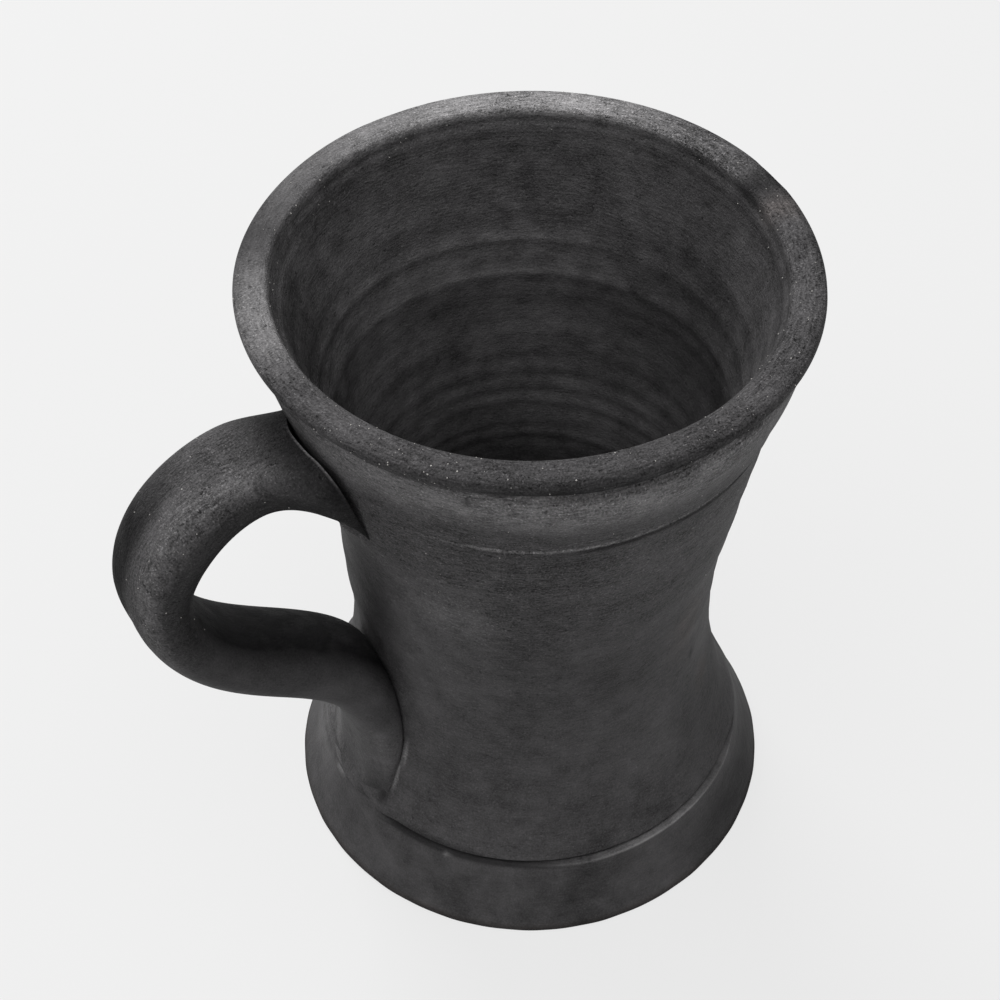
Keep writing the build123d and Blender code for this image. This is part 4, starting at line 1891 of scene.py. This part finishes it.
CUP_PATCHES = (
    Patch(Mark.WEAR_AND_HIGHLIGHT, Zone.OUTSIDE, -139.0, 82.0, 20.0, 12.0, 0.12),
    # Painted highlights: a point of light under the lip on the right, and light on the wall left of the tail
    Patch(Mark.WEAR_AND_HIGHLIGHT, Zone.OUTSIDE, -80.0, 123.8, 10.0, 3.2, 0.4),
    Patch(Mark.WEAR_AND_HIGHLIGHT, Zone.OUTSIDE, 160.0, 18.0, 16.0, 10.0, 0.34),
    # The lip's paler back and left: rubbed sheen and a painted reflection of the light at the back left
    Patch(Mark.WEAR_AND_HIGHLIGHT, Zone.LIP, 68.0, 130.0, 78.0, 9.0, 0.95),
    Patch(Mark.WEAR_AND_HIGHLIGHT, Zone.LIP, 164.0, 130.0, 24.0, 9.0, 0.60),
    # Painted shade on the lip's left
    Patch(Mark.SOOT_AND_SHADE, Zone.LIP, 139.0, 130.0, 9.0, 9.0, 0.25),
    Patch(Mark.WEAR_AND_HIGHLIGHT, Zone.LIP, -98.0, 128.0, 26.0, 0.4, 0.6),
    Patch(Mark.SOOT_AND_SHADE, Zone.LIP, -1.0, 130.0, 9.0, 5.0, 0.7),
    # Painted shade on the lip's front and on the inside right
    Patch(Mark.SOOT_AND_SHADE, Zone.LIP, -112.0, 130.0, 75.0, 9.0, 0.30),
    Patch(Mark.SOOT_AND_SHADE, Zone.INSIDE, -5.0, 95.0, 70.0, 48.0, 0.32),
    # Painted shade in the crease above the foot, front left
    Patch(Mark.SOOT_AND_SHADE, Zone.OUTSIDE, -145.0, 15.9, 24.0, 1.3, 0.6),
    Patch(Mark.SOOT_AND_SHADE, Zone.OUTSIDE, -102.0, 126.4, 1.6, 0.8, 0.7),
    Patch(Mark.SOOT_AND_SHADE, Zone.OUTSIDE, -123.0, 121.4, 1.6, 0.9, 0.6),
    # Painted highlights along the crease beside the tail, and painted shadow under the tail's toe
    Patch(Mark.WEAR_AND_HIGHLIGHT, Zone.OUTSIDE, -161.4, 31.5, 1.5, 4.5, 0.9),
    Patch(Mark.WEAR_AND_HIGHLIGHT, Zone.OUTSIDE, -163.2, 24.8, 1.5, 5.0, 1.0),
    Patch(Mark.SOOT_AND_SHADE, Zone.OUTSIDE, -164.9, 19.6, 3.0, 3.0, 0.7),
    Patch(Mark.EARTH, Zone.LIP, -9.0, 130.0, 7.0, 4.0, 0.3),
    Patch(Mark.EARTH, Zone.OUTSIDE, -66.0, 62.0, 12.0, 14.0, 0.25),
    Patch(Mark.EARTH, Zone.OUTSIDE, -50.0, 38.0, 9.0, 7.0, 0.35),
    Patch(Mark.SOOT_AND_SHADE, Zone.OUTSIDE, -60.0, 50.0, 2.2, 2.6, 0.6),
    # Painted shade low on the right of the wall, and painted shadow of the handle left of its root
    Patch(Mark.SOOT_AND_SHADE, Zone.OUTSIDE, -40.0, 28.0, 36.0, 22.0, 0.42),
    Patch(Mark.SOOT_AND_SHADE, Zone.OUTSIDE, -172.0, 74.0, 16.0, 24.0, 0.60),
    Patch(Mark.SOOT_AND_SHADE, Zone.OUTSIDE, -132.0, 123.0, 2.6, 2.6, 0.7),
    Patch(Mark.SOOT_AND_SHADE, Zone.OUTSIDE, -123.0, 24.0, 3.0, 1.6, 0.45),
    Patch(Mark.SOOT_AND_SHADE, Zone.OUTSIDE, -130.0, 32.0, 3.0, 1.8, 0.40),
    Patch(Mark.GRIT, Zone.LIP, -145.0, 127.0, 35.0, 9.0, 0.6),
    Patch(Mark.GRIT, Zone.LIP, -75.0, 127.0, 30.0, 9.0, 0.2),
)

FOOT_PATCHES = (
    # Painted shade on the right of the foot
    Patch(Mark.SOOT_AND_SHADE, Zone.OUTSIDE, -50.0, 6.0, 40.0, 10.0, 0.62),
    Patch(Mark.WEAR_AND_HIGHLIGHT, Zone.OUTSIDE, -142.7, 14.2, 1.6, 0.8, 1.0),
    # Painted highlights on the foot beside and under the handle's tail
    Patch(Mark.WEAR_AND_HIGHLIGHT, Zone.OUTSIDE, 160.0, 13.0, 18.0, 6.0, 0.30),
    Patch(Mark.WEAR_AND_HIGHLIGHT, Zone.OUTSIDE, 177.0, 15.2, 4.0, 1.8, 0.75),
)


def main() -> None:
    """Builds the mug piece by piece, then the studio round it."""
    logging.basicConfig(level=logging.INFO, format="%(name)s: %(message)s")
    clay = ClayFinish("smoked_clay")
    slip = ClayFinish("joint_slip", clay=grey(0.03), roughness=0.75)
    wall = WallCurve(height=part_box("thrown_cup")[1].z / MM)
    joint = WipedJoint(wall, FootCurve())
    foot = FootRing(joint.foot, joint, clay, patches=FOOT_PATCHES)
    handle = PulledHandle(wall, joint, clay).build()
    cup_maker = ThrownCup(wall, joint, clay, patches=CUP_PATCHES)
    cup_skin = cup_maker.skin()
    cup_skin.points += wall.lean(cup_skin.points[..., 2])
    cup_maker.blend_to_handle(cup_skin, handle, reach=5.0, rise=2.2)
    cup = cup_maker.build(cup_skin)
    foot.build()
    for pad in (
        SlipPad(wall, slip, "slip_upper", "upper_handle_slip", low=104.5, high=111.5, half_width=9.5),
        SlipPad(wall, slip, "slip_lower", "lower_handle_slip", low=20.0, high=51.0, half_width=8.0),
    ):
        pad.build()
    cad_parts["foot_slip"].data.materials.clear()
    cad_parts["foot_slip"].data.materials.append(slip.material())
    grains = {"Density": 250000.0, "Radius": 0.11 * MM, "Smallest": 0.5, "Largest": 1.4, "Seed": 7}
    Grit(GritFinish(), grains).build("grit_cup", cup)
    Grit(GritFinish(), grains).build("grit_handle", handle)
    Studio().build()


if __name__ == "__main__":
    main()
